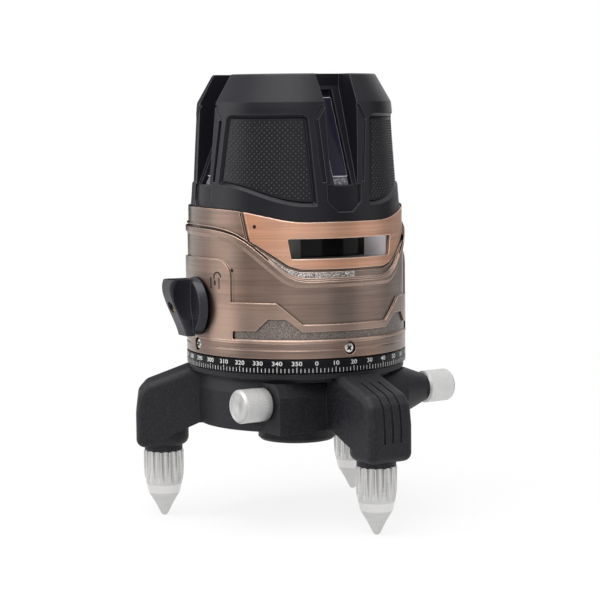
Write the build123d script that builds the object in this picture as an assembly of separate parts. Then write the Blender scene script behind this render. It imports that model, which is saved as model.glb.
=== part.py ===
from build123d import *
import os
from math import cos, pi, radians, sin

# Line laser level on a three-footed levelling base. Millimetres.
# Origin: centre of the tripod face under the hub. +Z runs up the turning axis, -Y is the head's front.
# Angles around the axis start at the front and grow towards +X.

# Heights
FLOOR_Z = -34.6        # foot tips, feet screwed home
LEG_Z = -1.8           # underside of the legs
DRUM_Z = 9.6           # underside of the drum
DRUM_FLOOR = 13.2      # its floor inside
WORM_Z = 22.4          # axis of the fine-adjust shaft
FLANGE_Z = 35.9        # top of the drum, under the dial ring
RING_Z = 36.2
HOUSING_Z = 42.5       # lower rim of the copper housing
SCREW_Z = 46.7
LOCK_Z = 63.8
SIDE_SEAM_Z = 107.7    # seam between housing and cap, at the sides and back
FRONT_SEAM_Z = 101.85  # the same seam where it dips over the window
PIVOT_Z = 143.5        # gimbal centre
SHOULDER_Z = 153.8
TOP_Z = 166.2

# Radii
HUB_R = 17.9
DRUM_R = 46.6
FLANGE_R = 49.0
RING_R = 50.0
BODY_R = 49.1          # housing between its raised parts
PANEL_R = 50.1         # raised lower panel and lock pads
COLLAR_R = 48.6        # housing above the wave, and the bezel
HOUSING_BORE_R = 46.4
SHADOW_GAP_R = 47.8    # floor of the gap round the window shield
FOOT_CIRCLE_R = 61.5
LEG_END_R = 73.8
TRIPOD_BORE_R = 6.75   # minor radius of the 5/8 inch tripod thread
HUB_BORE_R = 13.0
SPINDLE_R = 10.95
SIGHT_R = 6.0          # way for the plumb beam down the axis

# Turns and counts
BASE_TURN = 6.0        # base against the head, degrees
LEGS = (0, 120, 240)
PANELS = {"front_left": -45, "front_right": 45, "rear_left": -135, "rear_right": 135}
SLOTS = {"front": 0, "right": 90, "rear": 180, "left": -90}
WHEEL_TEETH = 60
FLUTES = 14

# Fine-adjust shaft, on a chord square to the first leg
CHORD_R = 29.5
KNOB_R = 7.4
KNOB_LENGTH = 14.4
LEFT_KNOB_S = 36.6     # inner face of each knob along the chord
RIGHT_KNOB_S = 49.8

# Base casting
DRUM_BORE_R = 37.4     # inside of the drum, below the neck
NECK_BORE_R = 41.4
BLOCK_Y = -40.5        # flat face of the worm block, beside the first leg
BLOCK_END = 36.3       # its end beside the left knob
BLOCK_TOP = 31.6
BOSS_R = 12.4          # root of the boss beside the right knob
LEG_HALF_WIDTH = 11.6
LEG_ROOT = 38.2        # where a leg grows out of the drum
DRUM_NECK_Z = 33.0     # the drum widens inside above this
NECK_TOP = 41.5        # end of the neck that the dial ring turns on
NECK_R = 44.4
POST_TOP = 34.5        # end of the post that the spindle turns in
POST_R = 16.0
SPINDLE_END = 12.6

# Cap
CAP_WALL = 3.2
SLOT_WALL = 4.4
CONE_LOW, CONE_HIGH = (46.9, 114.0), (44.2, 151.5)   # straight side of the cap, radius and height
PAD_POCKET = 1.8       # depth of the pocket under a grip pad, and the width of its sloping edge
PAD_FACE = 1.15        # depth of the pad's face
PANE = (7.8, 37.6, 1.6)
PANE_AT = -1.6         # along the slot floor, from the middle of the floor
PANE_BED = 2.8         # depth of the opening that the pane lies in
BUTTONS = {"left": (-12, -5), "middle": (0, -12.5), "right": (12, -5)}
BUTTON_R = 4.0
VIAL_AT, VIAL_R = (0, 9), 6.5

# Pendulum
LASER_R, LASER_LENGTH, LASER_RISE = 4.6, 18.0, 25.0
FRONT_LASER_Z = 90.4
TRIM_Z = 77.0
COUNTERWEIGHT_X = 12.1

# Lock
LOCK_SEAT_X, LOCK_FACE_X = -50.7, -54.4   # back and front of the knob's flange
LOCK_SCREW_X = -60.2

# Fits
SEAM = 0.3             # open seam between pieces
RUN = 0.05             # radial clearance of a running fit

REACH = 60.0           # past the outside of the head, for cutters


def disc(radius, low, high):
    return Pos(0, 0, (low + high) / 2) * Cylinder(radius, high - low)


def tube(outer, inner, low, high):
    return disc(outer, low, high) - disc(inner, low, high)


def block(x, y, z):
    """Box between two limits on each axis."""
    size = Box(x[1] - x[0], y[1] - y[0], z[1] - z[0])
    return Pos((x[0] + x[1]) / 2, (y[0] + y[1]) / 2, (z[0] + z[1]) / 2) * size


def rod(radius, start, end, **place):
    """Round bar along X between two stations, at the given y and z."""
    bar = Rot(0, 90, 0) * Cylinder(radius, end - start)
    return Pos((start + end) / 2, place.get("y", 0), place.get("z", 0)) * bar


def spoke(radius, start, end, z):
    """Round bar along the front radius between two radii."""
    return Pos(0, -(start + end) / 2, z) * (Rot(90, 0, 0) * Cylinder(radius, end - start))


def turned(points):
    """Solid of revolution of a closed (radius, height) outline."""
    return revolve(make_face(Plane.XZ * Polyline(*points, close=True)), Axis.Z)


def outline(points, radii=0):
    return make_face(FilletPolyline(*points, radius=radii, close=True))


def mirrored(half):
    """Closed outline from its right half, listed from the bottom centre upwards."""
    return list(half) + [(-x, z) for x, z in reversed(half)]


def towards_front(face, near=0.0, far=REACH):
    """Prism of an XZ outline that runs from y = -near to y = -far."""
    return Pos(0, -near, 0) * extrude(Plane.XZ * face, far - near)


def around(shape, angle):
    return shape.rotate(Axis.Z, angle)


def on_base(shape):
    return around(shape, BASE_TURN)


def wave(low, high, start, end, lift=0.0):
    """Curve over the front of the head: low in the middle, rising smoothly to both sides."""
    def height(x):
        t = min(max((abs(x) - start) / (end - start), 0.0), 1.0)
        return low + lift + (high - low) * t * t * (3 - 2 * t)

    step = RING_R / 8
    return Spline(*[(i * step, height(i * step)) for i in range(-9, 10)])


def above(curve, top):
    left, right = curve @ 0, curve @ 1
    rim = Polyline((right.X, right.Y), (right.X, top), (left.X, top), (left.X, left.Y))
    return make_face(curve + rim)


def ledge_wave(lift=0.0):
    """Top edge of the raised wave under the window shield."""
    return wave(75.3, 97.9, 20, 50, lift)


def crease_wave(lift=0.0):
    """Lower edge of the same wave."""
    return wave(73.8, 95.5, 22, 50, lift)


def seam_wave(lift=0.0):
    return wave(FRONT_SEAM_Z, SIDE_SEAM_Z, 19, 50, lift)


# Base


def leg():
    """One leg towards the front: a beam that carries a rounded column over its foot, ridged on top."""
    groove, depth, soft, brow = 0.55, 0.8, 3.8, 3.5
    foot_axis = Pos(0, -FOOT_CIRCLE_R, 0)
    side = outline(
        [
            (-LEG_ROOT, 34.7), (-49.5, 34.7), (-68.7, 27.6), (-72.6, 23.2), (-LEG_END_R, 14),
            (-LEG_END_R, LEG_Z), (-FOOT_CIRCLE_R, LEG_Z), (-FOOT_CIRCLE_R, 2.6), (-45.2, DRUM_Z),
            (-LEG_ROOT, DRUM_Z),
        ],
        [0, 0, 5, 5, 0, 0, 0, 0, 0, 0],
    )
    beam = extrude(Plane.YZ * side, LEG_HALF_WIDTH, both=True)
    sides = [edge for edge in beam.edges() if abs(edge.center().X) > LEG_HALF_WIDTH - 0.1]
    beam = fillet([edge for edge in sides if edge.center().Z > 20 or edge.center().Y < -LEG_END_R + 2], brow)
    beam += foot_axis * disc(LEG_HALF_WIDTH, LEG_Z, 8)
    beam = fillet(beam.faces().sort_by(Axis.Z)[0].edges(), soft)
    rind = extrude(Plane.YZ * (side - offset(side, -depth)), groove, both=True)
    rind &= block((-groove, groove), (-80, -56.5), (7, 40))
    for x in (-4.4, 0, 4.4):
        beam -= Pos(x, 0, 0) * rind
    beam += foot_axis * disc(8.7, LEG_Z - 2.3, LEG_Z + 1)
    beam -= foot_axis * disc(5.5, LEG_Z - 3, 16)
    return beam - foot_axis * disc(4.6, 15, 21.5)


def base_casting():
    drum = turned([
        (HUB_BORE_R, 0), (HUB_R - 1.2, 0), (HUB_R, 1.2), (HUB_R, 8.0), (HUB_R + 1.6, DRUM_Z),
        (DRUM_R - 1.6, DRUM_Z), (DRUM_R, DRUM_Z + 3), (DRUM_R, 26.5), (44.9, 32.2), (44.9, 33.3),
        (FLANGE_R - 0.4, 33.3), (FLANGE_R, 33.7), (FLANGE_R, FLANGE_Z), (NECK_R, FLANGE_Z),
        (NECK_R, NECK_TOP), (NECK_BORE_R, NECK_TOP), (NECK_BORE_R, DRUM_NECK_Z), (DRUM_BORE_R, DRUM_NECK_Z),
        (DRUM_BORE_R, DRUM_FLOOR), (20, DRUM_FLOOR), (20, 19.2), (POST_R, 19.2), (POST_R, POST_TOP),
        (HUB_BORE_R, POST_TOP),
    ])
    inside = disc(DRUM_BORE_R, DRUM_FLOOR, DRUM_NECK_Z)
    neck = disc(NECK_BORE_R, DRUM_NECK_Z, NECK_TOP)
    section = [(BLOCK_Y, DRUM_Z), (BLOCK_Y, 25.8), (BLOCK_Y + 3.2, BLOCK_TOP)]
    housing = outline(section + [(-15, BLOCK_TOP), (-15, DRUM_Z)])
    outside = outline(section + [(-REACH, BLOCK_TOP), (-REACH, DRUM_Z)])
    drum -= Pos(-BLOCK_END, 0, 0) * extrude(Plane.YZ * outside, BLOCK_END + 30)
    drum += Pos(-BLOCK_END, 0, 0) * extrude(Plane.YZ * housing, BLOCK_END) - inside
    for turn in LEGS:
        drum += around(leg(), turn) - neck
    boss = Plane.YZ.offset(33) * Pos(-CHORD_R, WORM_Z) * Circle(BOSS_R)
    nose = Plane.YZ.offset(RIGHT_KNOB_S - SEAM) * Pos(-CHORD_R, WORM_Z) * Circle(6.5)
    sleeve = loft([boss, nose]) + rod(BOSS_R, 16, 33, y=-CHORD_R, z=WORM_Z)
    drum += (sleeve & disc(REACH, 0, 32.6)) - inside
    drum -= rod(KNOB_R + 0.7, -REACH, -BLOCK_END, y=-CHORD_R, z=WORM_Z)
    drum -= rod(4.6, -REACH, REACH, y=-CHORD_R, z=WORM_Z)
    return on_base(drum)


def tripod_bush():
    return tube(HUB_BORE_R, TRIPOD_BORE_R, 0, 11.6)


def spindle_bush():
    return tube(HUB_BORE_R, SPINDLE_R + RUN, 17, POST_TOP)


def foot_place(turn):
    return Pos(FOOT_CIRCLE_R * sin(radians(turn)), -FOOT_CIRCLE_R * cos(radians(turn)), 0)


def foot_inserts():
    insert = tube(5.5, 4 + RUN, LEG_Z - 2.3, 15)
    return on_base(Compound([foot_place(turn) * insert for turn in LEGS]))


def foot_stud(turn):
    return on_base(foot_place(turn) * disc(4, -12.4, 19.5))


def foot(turn):
    """Fluted foot, turned to a smooth band and a cone below the flutes."""
    top, flute_end, lean = LEG_Z - 2.6, -19.7, 3.7
    barrel = turned([
        (0, FLOOR_Z), (0.9, FLOOR_Z), (1.5, FLOOR_Z + 0.6), (4.1, -28.9), (7.3, -23.6), (8.2, -19.2),
        (8.9, -16), (9.15, -11), (9.15, top), (0, top),
    ])
    flute = Pos(0, -9.5, (top + flute_end) / 2) * Rot(-lean, 0, 0) * Cylinder(1.75, 40)
    flute &= block((-3, 3), (-20, 0), (flute_end, top))
    for k in range(FLUTES):
        barrel -= around(flute, 360 / FLUTES * k)
    barrel -= disc(4 + RUN, -12.6, top)
    return on_base(foot_place(turn) * barrel)


def worm_bushes():
    left = rod(4.6, -BLOCK_END, -31, y=-CHORD_R, z=WORM_Z)
    right = rod(4.6, 36, RIGHT_KNOB_S - SEAM, y=-CHORD_R, z=WORM_Z)
    bore = rod(3 + RUN, -REACH, REACH, y=-CHORD_R, z=WORM_Z)
    return on_base(Compound([left - bore, right - bore]))


def worm_shaft():
    """Shaft with the worm at its middle, at the root of its thread."""
    shaft = rod(3, -LEFT_KNOB_S - 9, RIGHT_KNOB_S + 9, y=-CHORD_R, z=WORM_Z)
    return on_base(shaft + rod(3.2, -9, 9, y=-CHORD_R, z=WORM_Z))


def fine_knob(side):
    """Round knob with chamfered ends, on one end of the shaft."""
    inner = LEFT_KNOB_S if side < 0 else RIGHT_KNOB_S
    knob = chamfer(Cylinder(KNOB_R, KNOB_LENGTH).edges(), 0.9)
    knob = Rot(0, 90, 0) * knob
    knob = Pos(side * (inner + KNOB_LENGTH / 2), -CHORD_R, WORM_Z) * knob
    bore = sorted((side * inner, side * (inner + 9)))
    return on_base(knob - rod(3, *bore, y=-CHORD_R, z=WORM_Z))


def worm_wheel():
    """Toothed wheel on the post of the base; its rim runs clear of the worm."""
    pitch_r, tooth = 25.3, 2 * pi / WHEEL_TEETH
    points = []
    for k in range(WHEEL_TEETH):
        for radius, share in ((24.4, -0.32), (26.0, -0.14), (26.0, 0.14), (24.4, 0.32)):
            angle = (k + share) * tooth
            points.append((radius * sin(angle), -radius * cos(angle)))
    rim = extrude(make_face(Polyline(*points, close=True)), 6)
    recess = tube(pitch_r - 3, 19, WORM_Z - 3, WORM_Z - 1.4)
    return on_base(Pos(0, 0, WORM_Z - 3) * rim - recess - disc(POST_R + RUN, 15, 30))


def clutch_washer():
    return tube(24, 17, WORM_Z + 3, WORM_Z + 4)


def dial_ring():
    inner, chamfer_size, height = NECK_R + RUN, 0.35, 6.0
    top = RING_Z + height
    return turned([
        (inner, RING_Z), (RING_R - chamfer_size, RING_Z), (RING_R, RING_Z + chamfer_size),
        (RING_R, top - chamfer_size), (RING_R - chamfer_size, top), (inner, top),
    ])


# Head: turntable, housing and window


def turntable():
    """Dish that carries the head, with the clutch skirt and the hollow spindle below it."""
    floor, plate = HOUSING_Z + 0.3, 3.0
    dish = turned([
        (SIGHT_R, SPINDLE_END), (8.5, SPINDLE_END), (8.5, 17), (SPINDLE_R, 17), (SPINDLE_R, floor),
        (18, floor), (18, 26.6), (23, 26.6), (23, floor), (HOUSING_BORE_R - 0.1, floor),
        (HOUSING_BORE_R - 0.1, floor + 8),
        (43.4, floor + 8), (43.4, floor + plate), (SIGHT_R, floor + plate),
    ])
    for turn in SLOTS.values():
        dish -= around(spoke(1.25, 40, 50, SCREW_Z), turn)
    return dish


def spindle_nut():
    hexagon = extrude(RegularPolygon(11.6, 6), 4)
    return Pos(0, 0, SPINDLE_END) * (hexagon - disc(8.5, 0, 4))


def shield(grow=0.0):
    """Outline of the window shield, open to the seam above it."""
    half = [(0, 80.9), (20.5, 81.5), (25.2, 82.9), (38.2, 93.5), (39.9, 106.1), (41.0, 115)]
    face = outline(mirrored(half)[1:-1], [2, 3, 2, 0, 0, 0, 0, 2, 3, 2])
    return offset(face, grow) if grow else face


def window_hole():
    return outline(mirrored([(24.4, 86.0), (25.8, 94.8)]), 0.8)


def recess_band():
    """Outline of the textured recess over the lower rim."""
    half = [(44.1, 50.7), (44.1, 54.3), (37.6, 54.7), (33.6, 60), (27.4, 60), (20.8, 54.4)]
    return outline(mirrored(half), [0.4, 0.4, 0.8, 0.8, 0.8, 0.8] + [0.8, 0.8, 0.8, 0.8, 0.4, 0.4])


def ring_inside(face, outer, both=False):
    """Part of the housing wall, out to the given radius, behind an XZ outline."""
    wall = tube(outer, HOUSING_BORE_R, HOUSING_Z, 115)
    prism = extrude(Plane.XZ * face, REACH, both=True) if both else towards_front(face)
    return wall & prism


def shadow_gap():
    """Gap round the shield, which runs on over the wave to the sides and the back."""
    low, high = 0.8, 2.0
    strip = towards_front(above(ledge_wave(low), 120) - above(ledge_wave(high), 121))
    gap = strip - block((-33, 33), (-REACH, 0), (70, 120))
    gap += towards_front(shield(1.2), near=20)
    rear = (ledge_wave() @ 0).Y
    gap += disc(REACH, rear + low, rear + high) & block((-REACH, REACH), (0, REACH), (90, 120))
    return gap & tube(REACH, SHADOW_GAP_R, 70, 120)


def main_housing():
    shell = turned([
        (HOUSING_BORE_R, HOUSING_Z), (RING_R - 0.3, HOUSING_Z), (RING_R, HOUSING_Z + 0.3), (RING_R, 46.1),
        (RING_R - 0.35, 46.5), (RING_R, 46.9), (RING_R, 49.3), (RING_R - 0.3, 49.5), (RING_R + 0.2, 49.7),
        (RING_R + 0.2, 50.3), (BODY_R, 50.7), (BODY_R, SIDE_SEAM_Z), (HOUSING_BORE_R, SIDE_SEAM_Z),
    ])
    # Raised lower panel, which steps up to a pad on each side
    band = outline(mirrored([(REACH, 50.3), (REACH, 66.8), (30.5, 66.8), (20.6, 57.4)]))
    pad = outline([(-22.7, 50.3), (22.7, 50.3), (22.7, 85.5), (-22.7, 85.5)], [0, 0, 7.5, 7.5])
    pads = extrude(Plane.YZ * pad, REACH, both=True)
    shell += ring_inside(band, PANEL_R, both=True)
    shell += tube(PANEL_R, HOUSING_BORE_R, 50.3, 90) & pads
    shell -= towards_front(recess_band()) & tube(REACH, PANEL_R - 0.8, 50, 62)
    # Wave under the shield, in three terraces, and the lower collar above it
    shell -= tube(REACH, COLLAR_R, SIDE_SEAM_Z - 40, 120) & towards_front(above(ledge_wave(), 120))
    shell -= tube(REACH, COLLAR_R, 97.9, 120) & block((-REACH, REACH), (0, REACH), (90, 120))
    for step, lift in enumerate((2.4, 1.6, 0.8)):
        strip = above(crease_wave(0.5 * step), 110) - above(ledge_wave(lift), 112)
        outer = BODY_R + 0.27 * (step + 1)
        shell += ring_inside(strip, outer)
        low, high = (crease_wave(0.5 * step) @ 0).Y, (ledge_wave(lift) @ 0).Y
        shell += tube(outer, HOUSING_BORE_R, low, high) & block((-REACH, REACH), (0, REACH), (low, high))
    # Openings: dipped seam, shield, battery door, screws and lock
    shell -= towards_front(above(seam_wave(), 120))
    shell -= towards_front(shield(SEAM), near=20)
    shell -= shadow_gap()
    shell -= block((-21.3, 21.3), (30, REACH), (53.7, 90.3))
    for turn in SLOTS.values():
        shell -= around(spoke(1.5, 40, REACH, SCREW_Z), turn)
        shell -= around(spoke(2.9, 48, REACH, SCREW_Z), turn)
    return shell - rod(6, -REACH, -40, z=LOCK_Z)


def housing_screws():
    screw = spoke(1.25, 43.6, 48.2, SCREW_Z) + spoke(2.35, 48.0, 49.4, SCREW_Z)
    return Compound([around(screw, turn) for turn in SLOTS.values()])


def window_bezel():
    """Curved shield that frames the window, cut from a ring a little proud of the collar."""
    ring = tube(COLLAR_R + 0.1, HOUSING_BORE_R, 75, 115)
    plate = ring & towards_front(shield(), near=20)
    plate -= towards_front(above(seam_wave(), 120))
    return plate - towards_front(window_hole())


def window_liner():
    """Recess behind the window, with ends that slope in to the glass."""
    body = tube(HOUSING_BORE_R - 0.1, 38.4, 83.4, 97.4) & block((-29.5, 29.5), (-REACH, 0), (80, 100))
    half = [(25.4, -REACH), (25.4, -39.5), (16, -35), (16, -30)]
    tunnel = extrude(outline(mirrored(half)), 8.8)
    return body - Pos(0, 0, 86) * tunnel


def front_window():
    return tube(38.2, 36.6, 84.2, 96.6) & block((-20, 20), (-REACH, 0), (80, 100))


def battery_door():
    door = tube(PANEL_R - 0.2, HOUSING_BORE_R + 0.4, 54, 90)
    door &= block((-21, 21), (30, REACH), (50, 100))
    return door - Pos(0, PANEL_R + 6.5, 84) * Sphere(9)


# Cap


def cap_profile(inset=0.0):
    """Half section of the cap's outside, moved in by the given wall."""
    return [
        (0, 98), (48.0 - inset, 98), (48.0 - inset, 102.5), (47.3 - inset, 109),
        (CONE_LOW[0] - inset, CONE_LOW[1]), (CONE_HIGH[0] - inset, CONE_HIGH[1]),
        (43.9 - inset, SHOULDER_Z - 0.2 * inset),
        (37.2 - 0.7 * inset, TOP_Z - 0.6 - inset), (36.5 - 0.7 * inset, TOP_Z - inset), (0, TOP_Z - inset),
    ]


def slot(wall=0.0):
    """Slot over one side of the cap, grown by the given wall for the pocket behind it."""
    floor = outline([
        (-REACH, 115.7 - wall), (-46.4 + wall, 115.7 - wall), (-44.25 + wall, 119.4 - wall),
        (-26.5 + wall, 160.9), (-26.5 + wall, 175), (-REACH, 175),
    ])
    width = outline(mirrored([(6.5 + wall, 115.7 - wall), (8.9 + wall, 175)]))
    return extrude(Plane.YZ * floor, 20, both=True) & towards_front(width)


def pane_plane(depth=0.0):
    """Plane of the sloping slot floor, for the pane set in it."""
    lean = Vector(0, -41.0, 17.5).normalized()
    centre = Vector(0, -35.25, 140.5) - lean * depth
    return Plane(origin=centre, x_dir=(1, 0, 0), z_dir=lean)


def line_window(turn):
    return around(pane_plane(PANE_BED - PANE[2] / 2) * Pos(0, PANE_AT, 0) * Box(*PANE), turn)


def pane_opening():
    """Opening in the slot floor for the pane, with a narrower way for the light behind it."""
    bed = Pos(0, -2.2, 0) * Box(8.8, 45.4, 2 * PANE_BED)
    light = Pos(0, PANE_AT, 0) * Box(5.4, 34, 14)
    return pane_plane() * (bed + light)


def pad_outline(name, gap=0.0):
    """Grip pad on one panel: the front ones follow the dipped seam along their lower edge."""
    low, top, top_x = 118.8 + gap, 147.4 - gap, 17.3 - gap
    if name.startswith("rear"):
        edge = Line((-21.4 + gap, low), (21.4 - gap, low))
    else:
        dip = [(-8, 116.2), (1.5, 113.2), (15.8, 110.0), (21.6 - gap, 109.9)]
        edge = Spline((-21.4 + gap, low), *[(x, z + gap) for x, z in dip])
    sides = FilletPolyline(edge @ 1, (top_x, top), (-top_x, top), edge @ 0, radius=2 - gap)
    face = make_face(edge + sides)
    return mirror(face, Plane.YZ) if name.endswith("right") else face


def cap_rind(depth):
    return turned(cap_profile()) - turned(cap_profile(depth))


def side_layer(deep, shallow):
    """Layer of the cap's straight side between two depths under its surface."""
    slope = (CONE_LOW[0] - CONE_HIGH[0]) / (CONE_HIGH[1] - CONE_LOW[1])
    low, high = 104.0, CONE_HIGH[1]
    wide, narrow = (CONE_LOW[0] - slope * (z - CONE_LOW[1]) for z in (low, high))
    return turned([(wide - deep, low), (wide - shallow, low), (narrow - shallow, high), (narrow - deep, high)])


def pad_pocket(name):
    """Pocket for a grip pad; its edge slopes from the floor out to the surface."""
    slope, floor_gap = PAD_POCKET + 0.3, 0.7
    slab = side_layer(PAD_POCKET, -1.0) & towards_front(pad_outline(name, floor_gap - slope), near=25)
    floor = slab.faces().filter_by(GeomType.CONE).sort_by(lambda face: face.center().Y)[-1]
    return chamfer(floor.edges(), slope)


def rib_facet():
    """Facet at the top of a rib, sloping out to the jamb of the slot."""
    low, high = Vector(22.7, -38.4, 146), Vector(25.6, -35.9, 152.6)
    deep = Vector(23.4, -35.5, 152.6)
    side = outline([(23.6, 152.6), (26.4, 152.6), (23.0, 146), (20.6, 146)])
    slope = Plane(origin=high, x_dir=low - high, z_dir=(deep - high).cross(low - high))
    return towards_front(side, near=25) & slope * Pos(0, 0, 20) * Box(80, 80, 40)


def rib_groove():
    """Groove between the two ribs on a panel's edge."""
    return outline([(22.7, 146), (26.2, 119), (24.6, 119), (20.9, 146)])


def top_cap():
    cap = turned(cap_profile())
    cavity = turned(cap_profile(CAP_WALL))
    for turn in SLOTS.values():
        cap -= around(slot(), turn)
        cavity -= around(slot(SLOT_WALL), turn)
    cap -= cavity
    chin = mirrored([(3.6, 106.0), (8.4, 110.6), (8.4, 118)])
    chin = cap_rind(1.0) & towards_front(outline(chin))
    for turn in SLOTS.values():
        cap -= around(chin, turn)
        cap -= around(pane_opening(), turn)
    groove = cap_rind(0.9) & towards_front(rib_groove()) + rib_facet()
    for name, turn in PANELS.items():
        cap -= around(groove, turn) + around(mirror(groove, Plane.YZ), turn)
        cap -= around(pad_pocket(name), turn)
    # Lower edge follows the seam
    below = block((-REACH, REACH), (-REACH, REACH), (80, 120))
    low_front = towards_front(above(seam_wave(SEAM), 120)) & below
    cap -= block((-REACH, REACH), (-REACH, 0), (80, 120)) - low_front
    cap -= block((-REACH, REACH), (0, REACH), (80, SIDE_SEAM_Z + SEAM))
    # Top: seat of the keypad, buttons and vial
    cap -= disc(22.6, TOP_Z - 1.4, TOP_Z)
    for place in BUTTONS.values():
        cap -= Pos(*place, 0) * disc(BUTTON_R + 0.1, 150, TOP_Z)
    return cap - Pos(*VIAL_AT, 0) * disc(VIAL_R + 0.1, 150, TOP_Z)


def grip_pad(name):
    pad = side_layer(PAD_POCKET - 0.05, PAD_FACE) & towards_front(pad_outline(name, 0.85), near=25)
    return around(pad, PANELS[name])


def keypad_panel():
    panel = disc(22.4, TOP_Z - 1.3, TOP_Z - 0.2)
    for place in BUTTONS.values():
        panel -= Pos(*place, 0) * disc(BUTTON_R + 0.1, 150, TOP_Z)
    return panel - Pos(*VIAL_AT, 0) * disc(VIAL_R + 0.1, 150, TOP_Z)


def keypad_board():
    return disc(20, 157.4, 159) - Pos(*VIAL_AT, 0) * disc(VIAL_R + 1, 150, TOP_Z)


def button(name):
    stem = disc(BUTTON_R, 162.4, TOP_Z + 0.2) + disc(BUTTON_R + 1, 162.2, 163.0)
    return Pos(*BUTTONS[name], 0) * stem


def bubble_vial():
    """Round vial with a slightly domed glass."""
    rim = TOP_Z - 0.4
    glass = turned([(0, 160.4), (VIAL_R, 160.4), (VIAL_R, rim), (0.6 * VIAL_R, rim + 0.34), (0, rim + 0.52)])
    return Pos(*VIAL_AT, 0) * glass


# Inside the head


def gimbal_frame():
    """Four posts on the turntable and a bridge that holds the gimbal."""
    floor = HOUSING_Z + 3.3
    post = Pos(0, -33.5, 0) * disc(3, floor, PIVOT_Z - 3.5)
    arm = block((-3.2, 3.2), (-36.5, -21), (PIVOT_Z - 3.5, PIVOT_Z + 3))
    frame = tube(25, 17.5, PIVOT_Z - 3.5, PIVOT_Z + 3)
    for turn in PANELS.values():
        frame += around(post + arm, turn)
    return frame - rod(1.5 + RUN, -30, 30, z=PIVOT_Z)


def gimbal_ring():
    ring = tube(14.5, 11.5, PIVOT_Z - 3, PIVOT_Z + 3)
    return ring - rod(1.5, -20, 20, z=PIVOT_Z) - around(rod(1.5 + RUN, -20, 20, z=PIVOT_Z), 90)


def gimbal_pins():
    return Compound([rod(1.5, 11.7, 21, z=PIVOT_Z), rod(1.5, -21, -11.7, z=PIVOT_Z)])


def pendulum_pins():
    pins = (rod(1.5, 5, 14, z=PIVOT_Z), rod(1.5, -14, -5, z=PIVOT_Z))
    return Compound([around(pin, 90) for pin in pins])


def laser_place(turn):
    """Place of an upper laser: radial, rising square to its pane."""
    return Rot(0, 0, turn) * Pos(0, -17.5, 121) * Rot(90 - LASER_RISE, 0, 0)


def vertical_laser(turn):
    body = Cylinder(LASER_R, LASER_LENGTH)
    lens = Pos(0, 0, LASER_LENGTH / 2 + 1) * Cylinder(2.4, 2)
    return laser_place(turn) * (body + lens)


def pendulum_frame():
    """Turned column with seats for the lasers, hung by its head and balanced by the block at its back."""
    stem = turned([
        (0, 70), (4.5, 70), (4.5, 55.2), (8, 55.2), (8, 72), (6, 74), (11, 74), (11, 80), (6, 80), (6, 84),
        (10, 84), (10, 97), (6, 98), (6, 108), (13, 111.5), (13, 125.5), (6, 128), (6, PIVOT_Z - 5),
        (8.5, PIVOT_Z - 4), (8.5, PIVOT_Z + 4), (0, PIVOT_Z + 4),
    ])
    stem += block((-COUNTERWEIGHT_X, COUNTERWEIGHT_X), (6, 14.5), (57, 71.5)) - disc(7, 56, 72)
    for turn in SLOTS.values():
        stem -= laser_place(turn) * Cylinder(LASER_R, LASER_LENGTH)
    for turn in PANELS.values():
        stem -= around(spoke(1.5, 6, 20, TRIM_Z), turn)
    stem -= spoke(5.5, 7, 30, FRONT_LASER_Z)
    return stem - around(rod(1.5, 5, 20, z=PIVOT_Z) + rod(1.5, -20, -5, z=PIVOT_Z), 90)


def horizontal_laser():
    return spoke(5.5, 7, 26, FRONT_LASER_Z) + spoke(2.6, 26, 28.5, FRONT_LASER_Z)


def plumb_laser():
    return disc(4.5, 54, 69.8)


def damper_disc():
    return tube(20, 5.2, 52, 55.2)


def trim_screws():
    screw = spoke(1.5, 6, 13, TRIM_Z) + spoke(2.4, 13, 15, TRIM_Z)
    return Compound([around(screw, turn) for turn in PANELS.values()])


def damper_magnets():
    magnet = Pos(0, -13, 0) * disc(4.8, HOUSING_Z + 3.3, 49.4)
    return Compound([around(magnet, turn) for turn in SLOTS.values()])


def main_board():
    return block((37.6, 39.2), (-22, 22), (52, 104))


def battery_pack():
    """Flat pack with rounded edges, small enough to leave by the door."""
    pack = block((-18, 18), (27, 37.5), (55.5, 89))
    return fillet(pack.edges().filter_by(Axis.Z), 3)


# Lock


def lock_bush():
    return rod(6, -50.4, -44, z=LOCK_Z) - rod(4 + RUN, -60, -40, z=LOCK_Z)


def lock_shaft():
    """Shaft through the housing wall with the locking cam on its inner end."""
    return rod(4, LOCK_FACE_X + 0.4, -26, z=LOCK_Z) + rod(4.6, -31, -26, y=0.6, z=LOCK_Z + 0.6)


def scoop(width, height):
    """Ellipsoid that hollows the sides of the finger wing."""
    half = Ellipse(width, height) - Pos(-width, 0) * Rectangle(2 * width, 3 * height)
    return revolve(Plane.XZ * half, Axis.Z)


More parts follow.
